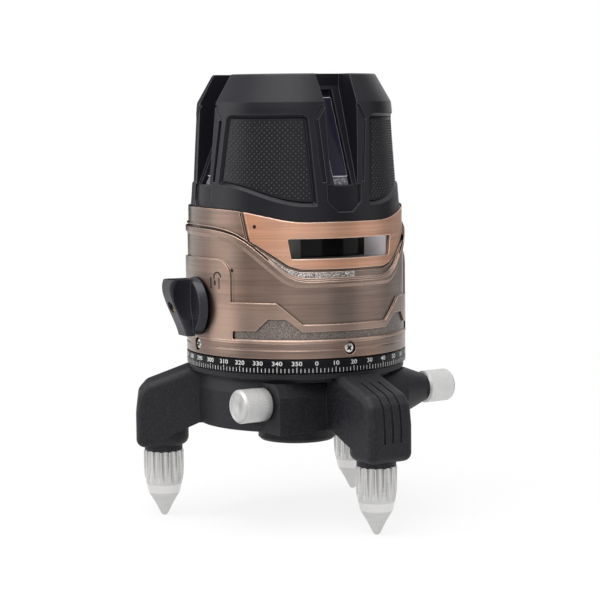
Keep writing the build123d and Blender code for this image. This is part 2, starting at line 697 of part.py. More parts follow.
def lock_knob():
    """Round flange with a finger wing across it, highest at its pointer end and scooped on both sides."""
    half_width, root = 4.9, LOCK_FACE_X + 1
    top, low = LOCK_Z + 12.4, LOCK_Z - 13.0
    rim = Plane.YZ.offset(LOCK_SEAT_X) * Pos(0, LOCK_Z) * Circle(13)
    flat = Plane.YZ.offset(LOCK_FACE_X) * Pos(0, LOCK_Z) * Circle(12)
    crest = Spline((-57.3, low), (-60.8, LOCK_Z - 4), (-63.8, LOCK_Z + 3), (-65.0, top - 2.2), (-64.2, top))
    back = Polyline((-64.2, top), (root, top), (root, low), (-57.3, low))
    wing = extrude(Plane.XZ * make_face(crest + back), half_width, both=True)
    wing = fillet([edge for edge in wing.edges() if edge.geom_type == GeomType.BSPLINE], 1.0)
    for side in (-1, 1):
        wing -= Pos(LOCK_FACE_X - 1.4, side * (half_width + 13.7), LOCK_Z + 4.8) * scoop(16, 20)
    knob = loft([rim, flat]) + wing
    knob -= rod(4, LOCK_FACE_X + 0.4, LOCK_SEAT_X + 1, z=LOCK_Z)
    knob -= rod(1.25, -70, LOCK_SEAT_X, z=LOCK_Z)
    return knob - rod(2.5, -70, LOCK_SCREW_X, z=LOCK_Z)


def lock_knob_screw():
    shank = rod(1.25, LOCK_SCREW_X, LOCK_FACE_X + 0.4, z=LOCK_Z)
    return shank + rod(2.3, LOCK_SCREW_X - 1.2, LOCK_SCREW_X, z=LOCK_Z)


nodes = {
    "base_casting": base_casting(),
    "tripod_bush": tripod_bush(),
    "spindle_bush": spindle_bush(),
    "foot_inserts": foot_inserts(),
    "worm_bushes": worm_bushes(),
    "worm_shaft": worm_shaft(),
    "fine_knob_left": fine_knob(-1),
    "fine_knob_right": fine_knob(1),
    "worm_wheel": worm_wheel(),
    "clutch_washer": clutch_washer(),
    "dial_ring": dial_ring(),
    "turntable": turntable(),
    "spindle_nut": spindle_nut(),
    "main_housing": main_housing(),
    "housing_screws": housing_screws(),
    "window_bezel": window_bezel(),
    "window_liner": window_liner(),
    "front_window": front_window(),
    "battery_door": battery_door(),
    "top_cap": top_cap(),
    "keypad_panel": keypad_panel(),
    "keypad_board": keypad_board(),
    "bubble_vial": bubble_vial(),
    "gimbal_frame": gimbal_frame(),
    "gimbal_ring": gimbal_ring(),
    "gimbal_pins": gimbal_pins(),
    "pendulum_frame": pendulum_frame(),
    "pendulum_pins": pendulum_pins(),
    "horizontal_laser": horizontal_laser(),
    "plumb_laser": plumb_laser(),
    "damper_disc": damper_disc(),
    "trim_screws": trim_screws(),
    "damper_magnets": damper_magnets(),
    "main_board": main_board(),
    "battery_pack": battery_pack(),
    "lock_bush": lock_bush(),
    "lock_shaft": lock_shaft(),
    "lock_knob": lock_knob(),
    "lock_knob_screw": lock_knob_screw(),
}
for number, turn in enumerate(LEGS, start=1):
    nodes[f"foot_stud_{number}"] = foot_stud(turn)
    nodes[f"foot_{number}"] = foot(turn)
for name in PANELS:
    nodes[f"grip_pad_{name}"] = grip_pad(name)
for name, turn in SLOTS.items():
    nodes[f"line_window_{name}"] = line_window(turn)
    nodes[f"vertical_laser_{name}"] = vertical_laser(turn)
for name in BUTTONS:
    nodes[f"button_{name}"] = button(name)

os.makedirs("parts", exist_ok=True)
for name, shape in nodes.items():
    export_step(shape, f"parts/{name}.step")
print(len(nodes), "nodes written")
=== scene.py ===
import math

import bmesh
import bpy
from mathutils import Matrix, Vector


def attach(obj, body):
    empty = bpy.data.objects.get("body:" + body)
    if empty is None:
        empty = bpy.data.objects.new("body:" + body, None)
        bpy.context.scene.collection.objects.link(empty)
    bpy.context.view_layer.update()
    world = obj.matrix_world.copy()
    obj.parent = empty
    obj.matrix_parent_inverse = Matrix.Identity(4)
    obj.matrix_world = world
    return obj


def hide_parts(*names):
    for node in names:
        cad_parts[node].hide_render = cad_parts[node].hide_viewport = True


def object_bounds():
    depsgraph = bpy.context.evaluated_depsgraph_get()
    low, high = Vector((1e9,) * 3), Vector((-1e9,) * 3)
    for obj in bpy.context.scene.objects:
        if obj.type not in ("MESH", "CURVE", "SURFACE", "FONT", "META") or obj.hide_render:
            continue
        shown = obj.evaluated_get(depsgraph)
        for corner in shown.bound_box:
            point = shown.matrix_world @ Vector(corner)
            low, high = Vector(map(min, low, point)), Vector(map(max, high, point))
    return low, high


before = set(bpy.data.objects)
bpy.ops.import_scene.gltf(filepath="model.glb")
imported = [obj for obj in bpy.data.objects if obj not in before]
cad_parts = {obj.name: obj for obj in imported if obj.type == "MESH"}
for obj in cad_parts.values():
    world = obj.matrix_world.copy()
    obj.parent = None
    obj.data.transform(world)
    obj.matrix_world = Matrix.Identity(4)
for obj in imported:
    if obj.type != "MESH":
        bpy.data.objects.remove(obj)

# Studio: a pale floor that runs out into a white surround, one broad lamp overhead, two to the left of the camera
# and a weak one to the right, and dark cards for the metal to mirror. The camera has a long lens and looks slightly
# down on the level.
MM = 0.001
WHITE = (1, 1, 1, 1)
cad_box = [list(corner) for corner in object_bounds()]
FLOOR_Z = cad_box[0][2]
FLOOR_REACH, SHADOW_REACH, FLOOR_GLOW = 6.0, (0.1, 0.4), (0.86, 1.0)
scene = bpy.context.scene
scene.view_settings.view_transform = "Standard"


def add(tree, kind, sockets=None, **settings):
    """New node in a tree; a socket takes a number, a colour or another node's output."""
    node = tree.nodes.new(kind)
    for key, value in settings.items():
        setattr(node, key, value)
    for key, value in (sockets or {}).items():
        if isinstance(value, bpy.types.NodeSocket):
            tree.links.new(value, node.inputs[key])
        else:
            node.inputs[key].default_value = value
    return node


def made(tree, kind, sockets=None, **settings):
    """First output of a new node."""
    return add(tree, kind, sockets, **settings).outputs[0]


def reckon(tree, operation, *values):
    """Output of a math node with its values in order."""
    return made(tree, "ShaderNodeMath", dict(enumerate(values)), operation=operation)


def reckon_vector(tree, operation, *values):
    """Output of a vector math node; a length or a dot product is a plain number."""
    node = add(tree, "ShaderNodeVectorMath", dict(enumerate(values)), operation=operation)
    return node.outputs["Value" if operation in ("LENGTH", "DOT_PRODUCT") else "Vector"]


def rescale(tree, value, source=(0.0, 1.0), target=(0.0, 1.0), soft=False):
    """Value moved from one range to another and held at the ends, which it nears gently where it is soft."""
    return made(tree, "ShaderNodeMapRange",
                {"Value": value, "From Min": source[0], "From Max": source[1],
                 "To Min": target[0], "To Max": target[1]},
                interpolation_type="SMOOTHSTEP" if soft else "LINEAR")


def place_on(tree):
    """Object coordinates of the shaded point."""
    return add(tree, "ShaderNodeTexCoord").outputs["Object"]


def empty_material(name):
    material = bpy.data.materials.new(name)
    material.use_nodes = True
    material.node_tree.nodes.clear()
    return material, material.node_tree


def link_object(name, data):
    thing = bpy.data.objects.new(name, data)
    scene.collection.objects.link(thing)
    return thing


def seen_directly(tree):
    """1 where a camera, mirror or glass ray looks at the surround, 0 for light that falls on the object."""
    path = add(tree, "ShaderNodeLightPath").outputs
    mirror = reckon(tree, "MAXIMUM", path["Is Camera Ray"], path["Is Glossy Ray"])
    return reckon(tree, "MAXIMUM", mirror, path["Is Transmission Ray"])


world = bpy.data.worlds.new("studio_surround")
world.use_nodes = True
scene.world = world
studio = world.node_tree
studio.nodes.clear()
fill_light = made(studio, "ShaderNodeBackground", {"Color": WHITE, "Strength": 0.22})
white_wall = made(studio, "ShaderNodeBackground", {"Color": WHITE, "Strength": 1.0})
surround = made(studio, "ShaderNodeMixShader", {0: seen_directly(studio), 1: fill_light, 2: white_wall})
add(studio, "ShaderNodeOutputWorld", {"Surface": surround})

floor_mesh = bpy.data.meshes.new("floor")
floor_mesh.from_pydata([(x * FLOOR_REACH, y * FLOOR_REACH, FLOOR_Z) for x, y in ((-1, -1), (1, -1), (1, 1), (-1, 1))],
                       [], [(0, 1, 2, 3)])
floor = link_object("floor", floor_mesh)
paper, tree = empty_material("floor_paper")
matt = made(tree, "ShaderNodeBsdfDiffuse", {"Color": (0.9, 0.9, 0.9, 1)})
glow = made(tree, "ShaderNodeEmission", {"Color": WHITE, "Strength": 1.0})
away = reckon_vector(tree, "LENGTH", place_on(tree))
fade = rescale(tree, away, SHADOW_REACH, FLOOR_GLOW, soft=True)
share = reckon(tree, "MULTIPLY", seen_directly(tree), fade)
sheet = made(tree, "ShaderNodeMixShader", {0: share, 1: matt, 2: glow})
add(tree, "ShaderNodeOutputMaterial", {"Surface": sheet})
floor_mesh.materials.append(paper)

LAMP_AIM = Vector((0, 0, 0.07))
for name, place, power, width in (
        ("overhead", (-0.10, -0.05, 1.05), 11.0, 0.9), ("key_left", (-0.66, -0.66, 0.82), 6.5, 1.0),
        ("back_left", (-0.95, 0.30, 0.40), 4.2, 0.7), ("fill_right", (0.85, -0.75, 0.40), 0.4, 0.5)):
    light = bpy.data.lights.new(name, "AREA")
    light.energy = power
    light.size = width
    lamp = link_object(name, light)
    lamp.location = place
    lamp.rotation_euler = (LAMP_AIM - Vector(place)).to_track_quat("-Z", "Y").to_euler()

CARD_STEPS = 12
card_cloth, tree = empty_material("card_cloth")
cloth = made(tree, "ShaderNodeBsdfDiffuse", {"Color": (0.02, 0.02, 0.022, 1)})
add(tree, "ShaderNodeOutputMaterial", {"Surface": cloth})
for middle, half, far, top in ((-84, 13, 1.5, 1.1), (-55, 11, 1.5, 1.1), (24, 16, 1.5, 1.1), (90, 15, 1.5, 1.1),
                               (118, 14, 1.0, 0.1), (165, 20, 1.5, 1.1)):
    corners = []
    for k in range(CARD_STEPS + 1):
        angle = math.radians(middle + half * (2 * k / CARD_STEPS - 1))
        corners += [(far * math.sin(angle), -far * math.cos(angle), z) for z in (FLOOR_Z, top)]
    card_mesh = bpy.data.meshes.new("dark_card")
    card_mesh.from_pydata(corners, [], [(k, k + 2, k + 3, k + 1) for k in range(0, 2 * CARD_STEPS, 2)])
    card_mesh.materials.append(card_cloth)
    card = link_object("dark_card", card_mesh)
    card.visible_camera = card.visible_diffuse = card.visible_shadow = False

LENS_PIXELS, PHOTO_PIXELS, SENSOR = 1983.0, 600.0, 36.0
CAMERA_AT = (0, -0.904, 0.1533)
view_turn, yaw, pitch, roll = (math.radians(a) for a in (-28.0, -0.12, 5.67, 0.54))
forward = Vector((-math.sin(yaw) * math.cos(pitch), math.cos(yaw) * math.cos(pitch), -math.sin(pitch)))
level_right = Vector((math.cos(yaw), math.sin(yaw), 0))
level_up = level_right.cross(forward)
right = level_right * math.cos(roll) - level_up * math.sin(roll)
up = level_right * math.sin(roll) + level_up * math.cos(roll)
camera_data = bpy.data.cameras.new("camera")
camera_data.sensor_width = SENSOR
camera_data.lens = SENSOR * LENS_PIXELS / PHOTO_PIXELS
camera_data.clip_end = 20
camera = link_object("camera", camera_data)
axes = Matrix((right, up, -forward)).transposed().to_4x4()
camera.matrix_world = Matrix.Rotation(view_turn, 4, "Z") @ Matrix.Translation(CAMERA_AT) @ axes
scene.camera = camera

# Base casting: drum, three legs and tripod hub in one piece, cast and then coated in a fine-grained black.
# The coat is a little lighter at the edges, partly handling wear and partly painted highlight.


def shade(red, green, blue):
    """Colour from screen values of 0 to 255."""
    return tuple((v / 255 / 12.92 if v < 11 else ((v / 255 + 0.055) / 1.055) ** 2.4) for v in (red, green, blue)) + (1,)


def scaled(colour, factor):
    return tuple(min(1.0, factor * c) for c in colour[:3]) + (1,)


def noise(tree, vector, scale, detail=2.0, roughness=0.5):
    return made(tree, "ShaderNodeTexNoise",
                {"Vector": vector, "Scale": scale, "Detail": detail, "Roughness": roughness})


def new_group(name, inputs, outputs):
    group = bpy.data.node_groups.new(name, "ShaderNodeTree")
    for way, sockets in (("INPUT", inputs), ("OUTPUT", outputs)):
        for socket, kind in sockets.items():
            group.interface.new_socket(socket, in_out=way, socket_type="NodeSocket" + kind)
    return group, add(group, "NodeGroupInput").outputs, add(group, "NodeGroupOutput").inputs


def make_grain_group():
    """Fine random grain of a coat or mould: its height, a mask of the higher specks, and broad faint patches."""
    group, given, result = new_group("fine_grain", {"Vector": "Vector", "Scale": "Float"},
                                     {"Height": "Float", "Speckle": "Float", "Patches": "Float"})
    fine = noise(group, given["Vector"], given["Scale"], 3, 0.6)
    pits = made(group, "ShaderNodeTexVoronoi", {"Vector": given["Vector"], "Scale": given["Scale"]})
    group.links.new(reckon(group, "MULTIPLY_ADD", pits, 0.5, fine), result["Height"])
    group.links.new(rescale(group, fine, (0.42, 0.68), soft=True), result["Speckle"])
    group.links.new(noise(group, given["Vector"], 55, 4), result["Patches"])
    return group


def make_edge_group():
    """Rounding of hard edges in the light, and a mask of the edge strip, which is lightened as wear and painted
    highlight.
    """
    group, given, result = new_group("worn_and_highlit_edge", {"Radius": "Float"}, {"Normal": "Vector", "Edge": "Float"})
    rounded = made(group, "ShaderNodeBevel", {"Radius": given["Radius"]}, samples=6)
    flat = add(group, "ShaderNodeNewGeometry").outputs["Normal"]
    facing = reckon_vector(group, "DOT_PRODUCT", rounded, flat)
    group.links.new(rounded, result["Normal"])
    # The edge mask serves as handling wear and as painted highlight on every edge, hollow ones too.
    group.links.new(rescale(group, facing, (0.99, 0.86), soft=True), result["Edge"])
    return group


GRAIN, EDGE = make_grain_group(), make_edge_group()


def new_material(name):
    """Material with its Principled shader and object coordinates."""
    material, tree = empty_material(name)
    shader = add(tree, "ShaderNodeBsdfPrincipled")
    add(tree, "ShaderNodeOutputMaterial", {"Surface": shader.outputs[0]})
    return material, tree, shader, place_on(tree)


def effect(tree, group, **sockets):
    """Outputs of a shared effect, placed in a material with its own values."""
    return add(tree, "ShaderNodeGroup", sockets, node_tree=group).outputs


def blend_colours(tree, factor, first, second):
    return add(tree, "ShaderNodeMix", {"Factor": factor, 6: first, 7: second}, data_type="RGBA").outputs[2]


def surface(tree, shader, tone, rough, height, normal, strength, depth):
    """Colour, roughness and relief led into a shader; the relief's depth is in millimetres."""
    bump = made(tree, "ShaderNodeBump",
                {"Strength": strength, "Distance": depth * MM, "Height": height, "Normal": normal})
    for socket, value in (("Base Color", tone), ("Roughness", rough), ("Normal", bump)):
        tree.links.new(value, shader.inputs[socket])


def moulded(name, colour, edge_wear_and_highlight, grain, depth, roughness=(0.48, 0.62), edge=0.35, edge_mm=0.35, gloss=0.5,
            flecks=None):
    """Moulded or coated finish: fine grain, faint patches, edges lighter with wear and painted highlight."""
    material, tree, shader, place = new_material(name)
    skin = effect(tree, GRAIN, Vector=place, Scale=grain)
    rim = effect(tree, EDGE, Radius=edge_mm * MM)
    tone = blend_colours(tree, skin["Patches"], scaled(colour, 0.8), colour)
    if flecks:
        tone = blend_colours(tree, skin["Speckle"], tone, flecks)
    # Lighter edges: partly handling wear, partly painted highlight.
    tone = blend_colours(tree, reckon(tree, "MULTIPLY", rim["Edge"], edge), tone, edge_wear_and_highlight)
    rough = rescale(tree, skin["Speckle"], target=roughness)
    surface(tree, shader, tone, rough, skin["Height"], rim["Normal"], strength=0.6, depth=depth)
    shader.inputs["Specular IOR Level"].default_value = gloss
    return material


def dress(material, *nodes):
    """CAD nodes whose shape is right take a finish."""
    for node in nodes:
        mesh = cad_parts[node].data
        mesh.materials.clear()
        mesh.materials.append(material)


black_coat = moulded("black_coat", shade(21, 21, 25), shade(80, 80, 88), grain=1300, depth=0.14, edge=0.4, gloss=0.26,
                     flecks=shade(38, 38, 44))
dress(black_coat, "base_casting")

# Brass bushes: turned from bar and pressed into the casting. The one in the hub carries the coarse tripod thread,
# the others are plain bearings for the spindle, the feet and the fine-adjust shaft.
AROUND_Z = (90, 90, 6500)
TRIPOD_MAJOR, TRIPOD_DEPTH, TRIPOD_PITCH, TRIPOD_TURNS = 7.94, 1.1, 25.4 / 11, 4.1
BUSH_R, BUSH_HIGH, BUSH_CHAMFER, BUSH_THREAD_Z = 13.0, 11.6, 0.5, 1.2


def make_brush_group():
    """Fine lines left by a brush or a turning tool, drawn out by the stretch of each axis, and soft clouds."""
    group, given, result = new_group("tool_lines", {"Vector": "Vector", "Stretch": "Vector"},
                                     {"Line": "Float", "Cloud": "Float"})
    lines = noise(group, reckon_vector(group, "MULTIPLY", given["Vector"], given["Stretch"]), 1, 5, 0.7)
    group.links.new(rescale(group, lines, (0.3, 0.7)), result["Line"])
    group.links.new(rescale(group, noise(group, given["Vector"], 38, 3), (0.35, 0.65)), result["Cloud"])
    return group


LINES = make_brush_group()


def turned_metal(name, dark, light, stretch=AROUND_Z, roughness=(0.26, 0.4), depth=0.012, edge=0.4, edge_mm=0.2):
    """Machined metal: tool lines in colour, roughness and height, edges brighter with wear and painted highlight."""
    material, tree, shader, place = new_material(name)
    tool = effect(tree, LINES, Vector=place, Stretch=stretch)
    rim = effect(tree, EDGE, Radius=edge_mm * MM)
    tone = blend_colours(tree, tool["Line"], dark, light)
    # Brighter edges: partly wear, partly painted highlight.
    tone = blend_colours(tree, reckon(tree, "MULTIPLY", rim["Edge"], edge), tone, scaled(light, 1.25))
    rough = rescale(tree, tool["Cloud"], target=roughness)
    surface(tree, shader, tone, rough, tool["Line"], rim["Normal"], strength=0.5, depth=depth)
    shader.inputs["Metallic"].default_value = 1.0
    return material


def mesh_from(work, name):
    """Plain mesh from a mesh in the making, which is let go."""
    mesh = bpy.data.meshes.new(name)
    work.to_mesh(mesh)
    work.free()
    return mesh


def lathe(name, profile, segments, axis="Z"):
    """Turned mesh from a (radius, height) profile in millimetres, closed where the radius is 0."""
    work = bmesh.new()
    points = [work.verts.new((r * MM, 0, h * MM)) for r, h in profile]
    for first, second in zip(points, points[1:]):
        work.edges.new((first, second))
    bmesh.ops.spin(work, geom=work.verts[:] + work.edges[:], cent=(0, 0, 0), axis=(0, 0, 1), angle=2 * math.pi,
                   steps=segments, use_merge=True)
    bmesh.ops.remove_doubles(work, verts=work.verts, dist=1e-7)
    bmesh.ops.recalc_face_normals(work, faces=work.faces)
    if axis == "X":
        bmesh.ops.rotate(work, verts=work.verts, cent=(0, 0, 0), matrix=Matrix.Rotation(math.pi / 2, 3, "Y"))
    return mesh_from(work, name)


def crease(mesh, angle=32):
    """Smooth shading that breaks at edges sharper than the angle."""
    mesh.shade_smooth()
    work = bmesh.new()
    work.from_mesh(mesh)
    for edge in work.edges:
        edge.smooth = edge.is_manifold and edge.calc_face_angle(0) < math.radians(angle)
    work.to_mesh(mesh)
    work.free()


def joined(name, *meshes):
    """One mesh from several, with their materials kept."""
    result = bpy.data.meshes.new(name)
    work = bmesh.new()
    for mesh in meshes:
        shift = len(result.materials)
        before = len(work.faces)
        work.from_mesh(mesh)
        work.faces.ensure_lookup_table()
        for face in work.faces[before:]:
            face.material_index += shift
        for material in mesh.materials or [None]:
            result.materials.append(material)
    work.to_mesh(result)
    work.free()
    return result


def frozen(holder):
    """Plain mesh of an object as its modifiers leave it; the object and its modifiers go."""
    mesh = bpy.data.meshes.new_from_object(holder.evaluated_get(bpy.context.evaluated_depsgraph_get()))
    bpy.data.objects.remove(holder)
    return mesh


def grown(name, tree, values, source=None):
    """Plain mesh that a geometry tree makes from its named inputs."""
    holder = link_object(name, source or bpy.data.meshes.new(name))
    modifier = holder.modifiers.new("grow", "NODES")
    modifier.node_group = tree
    for item in tree.interface.items_tree:
        if item.in_out == "INPUT" and item.name in values:
            modifier[item.identifier] = values[item.name]
    return frozen(holder)


def new_geometry_tree(name, inputs):
    tree = bpy.data.node_groups.new(name, "GeometryNodeTree")
    for socket, kind in inputs.items():
        tree.interface.new_socket(socket, in_out="INPUT", socket_type="NodeSocket" + kind)
    tree.interface.new_socket("Geometry", in_out="OUTPUT", socket_type="NodeSocketGeometry")
    return tree, add(tree, "NodeGroupInput").outputs


def finish_tree(tree, geometry, finish, selection=True):
    """Every tree ends in realised instances with their material set."""
    real = made(tree, "GeometryNodeRealizeInstances", {0: geometry})
    painted = made(tree, "GeometryNodeSetMaterial", {"Geometry": real, "Selection": selection, "Material": finish})
    add(tree, "NodeGroupOutput", {0: painted})


def on_z(tree, value):
    """Vector with only its Z part."""
    return made(tree, "ShaderNodeCombineXYZ", {"Z": value})


def make_thread_tree():
    """Helical ridge of a screw thread, half sunk in the wall that carries it."""
    tree, given = new_geometry_tree("screw_thread", {"Radius": "Float", "Pitch": "Float", "Turns": "Float",
                                                     "Depth": "Float", "Start": "Float", "Finish": "Material"})
    helix = made(tree, "GeometryNodeCurveSpiral",
                 {"Resolution": 40, "Rotations": given["Turns"], "Start Radius": given["Radius"],
                  "End Radius": given["Radius"], "Height": reckon(tree, "MULTIPLY", given["Pitch"], given["Turns"])})
    upright = made(tree, "GeometryNodeSetCurveNormal", {0: helix}, mode="Z_UP")
    ridge = made(tree, "GeometryNodeCurvePrimitiveCircle", {"Resolution": 4, "Radius": given["Depth"]}, mode="RADIUS")
    swept = made(tree, "GeometryNodeCurveToMesh", {"Curve": upright, "Profile Curve": ridge, "Fill Caps": True})
    placed = made(tree, "GeometryNodeTransform", {"Geometry": swept, "Translation": on_z(tree, given["Start"])})
    flat = made(tree, "GeometryNodeSetShadeSmooth", {"Geometry": placed, "Shade Smooth": False})
    finish_tree(tree, flat, given["Finish"])
    return tree


def threaded(name, profile, segments, finish, thread):
    """Turned piece with a helical ridge on its wall, both in one finish; sizes in millimetres."""
    core = lathe(name + "_core", profile, segments)
    core.materials.append(finish)
    crease(core)
    sizes = {key: value if key == "Turns" else value * MM for key, value in thread.items()}
    return joined(name, core, grown(name + "_ridge", THREAD, {**sizes, "Finish": finish}))


def place_piece(name, mesh, body, replaces=()):
    """Finished piece at the origin, riding on its body."""
    piece = link_object(name, mesh)
    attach(piece, body)
    if replaces:
        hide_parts(*replaces)


THREAD = make_thread_tree()
brass = turned_metal("turned_brass", shade(178, 146, 86), shade(214, 184, 122))
bush = threaded("tripod_socket", [(TRIPOD_MAJOR + BUSH_CHAMFER, 0), (BUSH_R, 0), (BUSH_R, BUSH_HIGH),
                                  (TRIPOD_MAJOR, BUSH_HIGH), (TRIPOD_MAJOR, BUSH_CHAMFER),
                                  (TRIPOD_MAJOR + BUSH_CHAMFER, 0)], 64, brass,
                {"Radius": TRIPOD_MAJOR, "Pitch": TRIPOD_PITCH, "Turns": TRIPOD_TURNS, "Depth": TRIPOD_DEPTH,
                 "Start": BUSH_THREAD_Z})
place_piece("tripod_socket", bush, "base", ["tripod_bush"])
dress(brass, "spindle_bush", "foot_inserts", "worm_bushes")

# Levelling feet: aluminium turned to a point, fluted for the fingers and left bright, with a polished band. Each is
# fixed on a steel stud with a fine thread, which screws through the insert in its leg.
BASE_TURN = math.radians(6.0)
FOOT_CIRCLE = 61.5
POLISHED = (-23.7, -19.9)
STUD_ROOT, STUD_DEPTH, STUD_PITCH, STUD_TURNS = 3.42, 0.55, 1.5, 20.0
STUD_LOW, STUD_TOP, STUD_THREAD_Z, STUD_TIP = -12.4, 19.5, -11.6, (0.6, 0.3)


def between(tree, value, low, high):
    """1 where a length lies between two bounds in millimetres, else 0."""
    return reckon(tree, "COMPARE", value, (low + high) / 2 * MM, (high - low) / 2 * MM)


def blend_values(tree, factor, first, second):
    return made(tree, "ShaderNodeMix", {"Factor": factor, 2: first, 3: second}, data_type="FLOAT")


def polish_band(material, low, high, bright, smooth):
    """Zone of a turned piece that is polished between two heights."""
    tree = material.node_tree
    inputs = tree.nodes["Principled BSDF"].inputs
    height = add(tree, "ShaderNodeSeparateXYZ", {0: place_on(tree)}).outputs["Z"]
    band = between(tree, height, low, high)
    tone, rough = (inputs[name].links[0].from_socket for name in ("Base Color", "Roughness"))
    tree.links.new(blend_colours(tree, band, tone, bright), inputs["Base Color"])
    tree.links.new(blend_values(tree, band, rough, smooth), inputs["Roughness"])


aluminium = turned_metal("turned_aluminium", shade(186, 186, 185), shade(214, 213, 211), roughness=(0.34, 0.5),
                         depth=0.02, edge=0.6)
polish_band(aluminium, *POLISHED, shade(216, 215, 214), 0.22)
steel = turned_metal("bright_steel", shade(150, 151, 154), shade(196, 197, 199), roughness=(0.24, 0.36))
for number, turn in enumerate((0, 120, 240), start=1):
    angle = math.radians(turn) + BASE_TURN
    stud = threaded(f"threaded_stud_{number}", [
        (0, STUD_LOW), (STUD_ROOT, STUD_LOW), (STUD_ROOT, STUD_TOP - STUD_TIP[1]), (STUD_ROOT - STUD_TIP[0], STUD_TOP),
        (0, STUD_TOP)], 40, steel, {"Radius": STUD_ROOT, "Pitch": STUD_PITCH, "Turns": STUD_TURNS,
                                    "Depth": STUD_DEPTH, "Start": STUD_THREAD_Z})
    stud.transform(Matrix.Translation((FOOT_CIRCLE * MM * math.sin(angle), -FOOT_CIRCLE * MM * math.cos(angle), 0)))
    place_piece(f"threaded_stud_{number}", stud, f"stud_{number}", [f"foot_stud_{number}"])
    dress(aluminium, f"foot_{number}")

# Fine adjustment: a steel shaft with a worm turns the brass wheel under the head. A knob of aluminium with fine
# straight knurling is pressed on each end; a fibre washer above the wheel is the clutch.
AROUND_X = (6500, 90, 90)
CHORD_R, WORM_Z = 29.5, 22.4
KNOB_SEATS = (("left", -1, 36.6), ("right", 1, 49.8))
KNOB_R, KNOB_LENGTH, KNOB_CHAMFER, KNOB_BORE_R, KNOB_BORE = 7.4, 14.4, 0.9, 3.0, 9.0
CORE_R, CORE_LOW, CORE_HIGH = KNOB_R - 0.2, 0.7, KNOB_LENGTH - 0.75
DISH_R, DISH_Z, CENTRE_R, CENTRE_Z, DISH_STEP = 5.5, KNOB_LENGTH - 0.12, 1.9, KNOB_LENGTH - 0.2, 0.2
KNURL_DEPTH, KNURLS, KNURL_MARGIN = 0.2, 72, 1.1


def make_knurl_tree():
    """Straight-knurled barrel along X: ridges of even pitch, closed at both ends."""
    tree, given = new_geometry_tree("straight_knurl", {"Ridges": "Int", "Radius": "Float", "Depth": "Float",
                                                       "Start": "Float", "End": "Float", "Finish": "Material"})
    count = reckon(tree, "MULTIPLY", given["Ridges"], 4.0)
    rim = made(tree, "GeometryNodeCurvePrimitiveCircle", {"Resolution": count, "Radius": given["Radius"]},
               mode="RADIUS")
    step = reckon(tree, "MODULO", made(tree, "GeometryNodeInputIndex"), 4.0)
    valley = reckon(tree, "GREATER_THAN", step, 1.5)
    cut = reckon(tree, "MULTIPLY", valley, reckon(tree, "DIVIDE", given["Depth"], given["Radius"]))
    inward = made(tree, "ShaderNodeVectorMath", {0: made(tree, "GeometryNodeInputPosition"),
                                                 "Scale": reckon(tree, "MULTIPLY", cut, -1.0)}, operation="SCALE")
    ridged = made(tree, "GeometryNodeSetPosition", {"Geometry": rim, "Offset": inward})
    start, end = (made(tree, "ShaderNodeCombineXYZ", {"X": given[name]}) for name in ("Start", "End"))
    line = made(tree, "GeometryNodeCurvePrimitiveLine", {"Start": start, "End": end})
    barrel = made(tree, "GeometryNodeCurveToMesh", {"Curve": line, "Profile Curve": ridged, "Fill Caps": True})
    flat = made(tree, "GeometryNodeSetShadeSmooth", {"Geometry": barrel, "Shade Smooth": False})
    finish_tree(tree, flat, given["Finish"])
    return tree


KNURL = make_knurl_tree()
knob_metal = turned_metal("knob_aluminium", shade(188, 188, 188), shade(222, 221, 220), AROUND_X,
                          roughness=(0.32, 0.46), edge=0.7)
knob_face = turned_metal("knob_face", shade(170, 170, 170), shade(204, 203, 202), AROUND_X, roughness=(0.5, 0.62),
                         edge=0.7)
for side, sign, inner in KNOB_SEATS:
    core = lathe("knob_core", [
        (0, KNOB_BORE), (KNOB_BORE_R, KNOB_BORE), (KNOB_BORE_R, 0), (KNOB_R - KNOB_CHAMFER, 0),
        (CORE_R, CORE_LOW), (CORE_R, CORE_HIGH), (KNOB_R - KNOB_CHAMFER, KNOB_LENGTH),
        (DISH_R + DISH_STEP, KNOB_LENGTH), (DISH_R, DISH_Z), (CENTRE_R + DISH_STEP, DISH_Z), (CENTRE_R, CENTRE_Z),
        (0, CENTRE_Z)], 72, axis="X")
    core.materials.append(knob_face)
    crease(core, 25)
    barrel = grown("knob_barrel", KNURL, {
        "Ridges": KNURLS, "Radius": KNOB_R * MM, "Depth": KNURL_DEPTH * MM, "Start": KNURL_MARGIN * MM,
        "End": (KNOB_LENGTH - KNURL_MARGIN) * MM, "Finish": knob_metal})
    knob = joined(f"knurled_knob_{side}", core, barrel)
    facing = Matrix.Rotation(math.pi if sign < 0 else 0, 4, "Z")
    seat = Matrix.Translation((sign * inner * MM, -CHORD_R * MM, WORM_Z * MM))
    knob.transform(Matrix.Rotation(BASE_TURN, 4, "Z") @ seat @ facing)
    place_piece(f"knurled_knob_{side}", knob, "worm", [f"fine_knob_{side}"])
dress(steel, "worm_shaft")
dress(brass, "worm_wheel")
dress(moulded("clutch_fibre", shade(122, 104, 84), shade(150, 132, 110), grain=900, depth=0.1), "clutch_washer")

# Dial ring: an aluminium ring, anodised black, with a degree scale cut through to a white fill. Ticks every two
# degrees stand on its lower edge, and every tenth degree is numbered; it turns by hand on the drum.
RING_R, RING_Z = 50.0, 36.2
ZERO_AT = -17.8
TICKS, TICK_AT, TICK_FOOT = 180, RING_R - 0.005, RING_Z + 0.4
TICK_SHORT, TICK_LONG, TICK_WIDE, TICK_THICK = 1.85, 2.45, 0.25, 0.09
FIGURE_AT, FIGURE_FOOT = RING_R + 0.01, RING_Z + 3.5
FIGURE_HIGH, FIGURE_STRETCH, FIGURE_THICK, FIGURE_BOLD = 2.65, 1.22, 0.02, 0.035


def even_turns(tree, count):
    """Rotation about Z that shares a full turn out by index."""
    part = reckon(tree, "DIVIDE", made(tree, "GeometryNodeInputIndex"), count)
    return on_z(tree, reckon(tree, "MULTIPLY", part, 2 * math.pi))


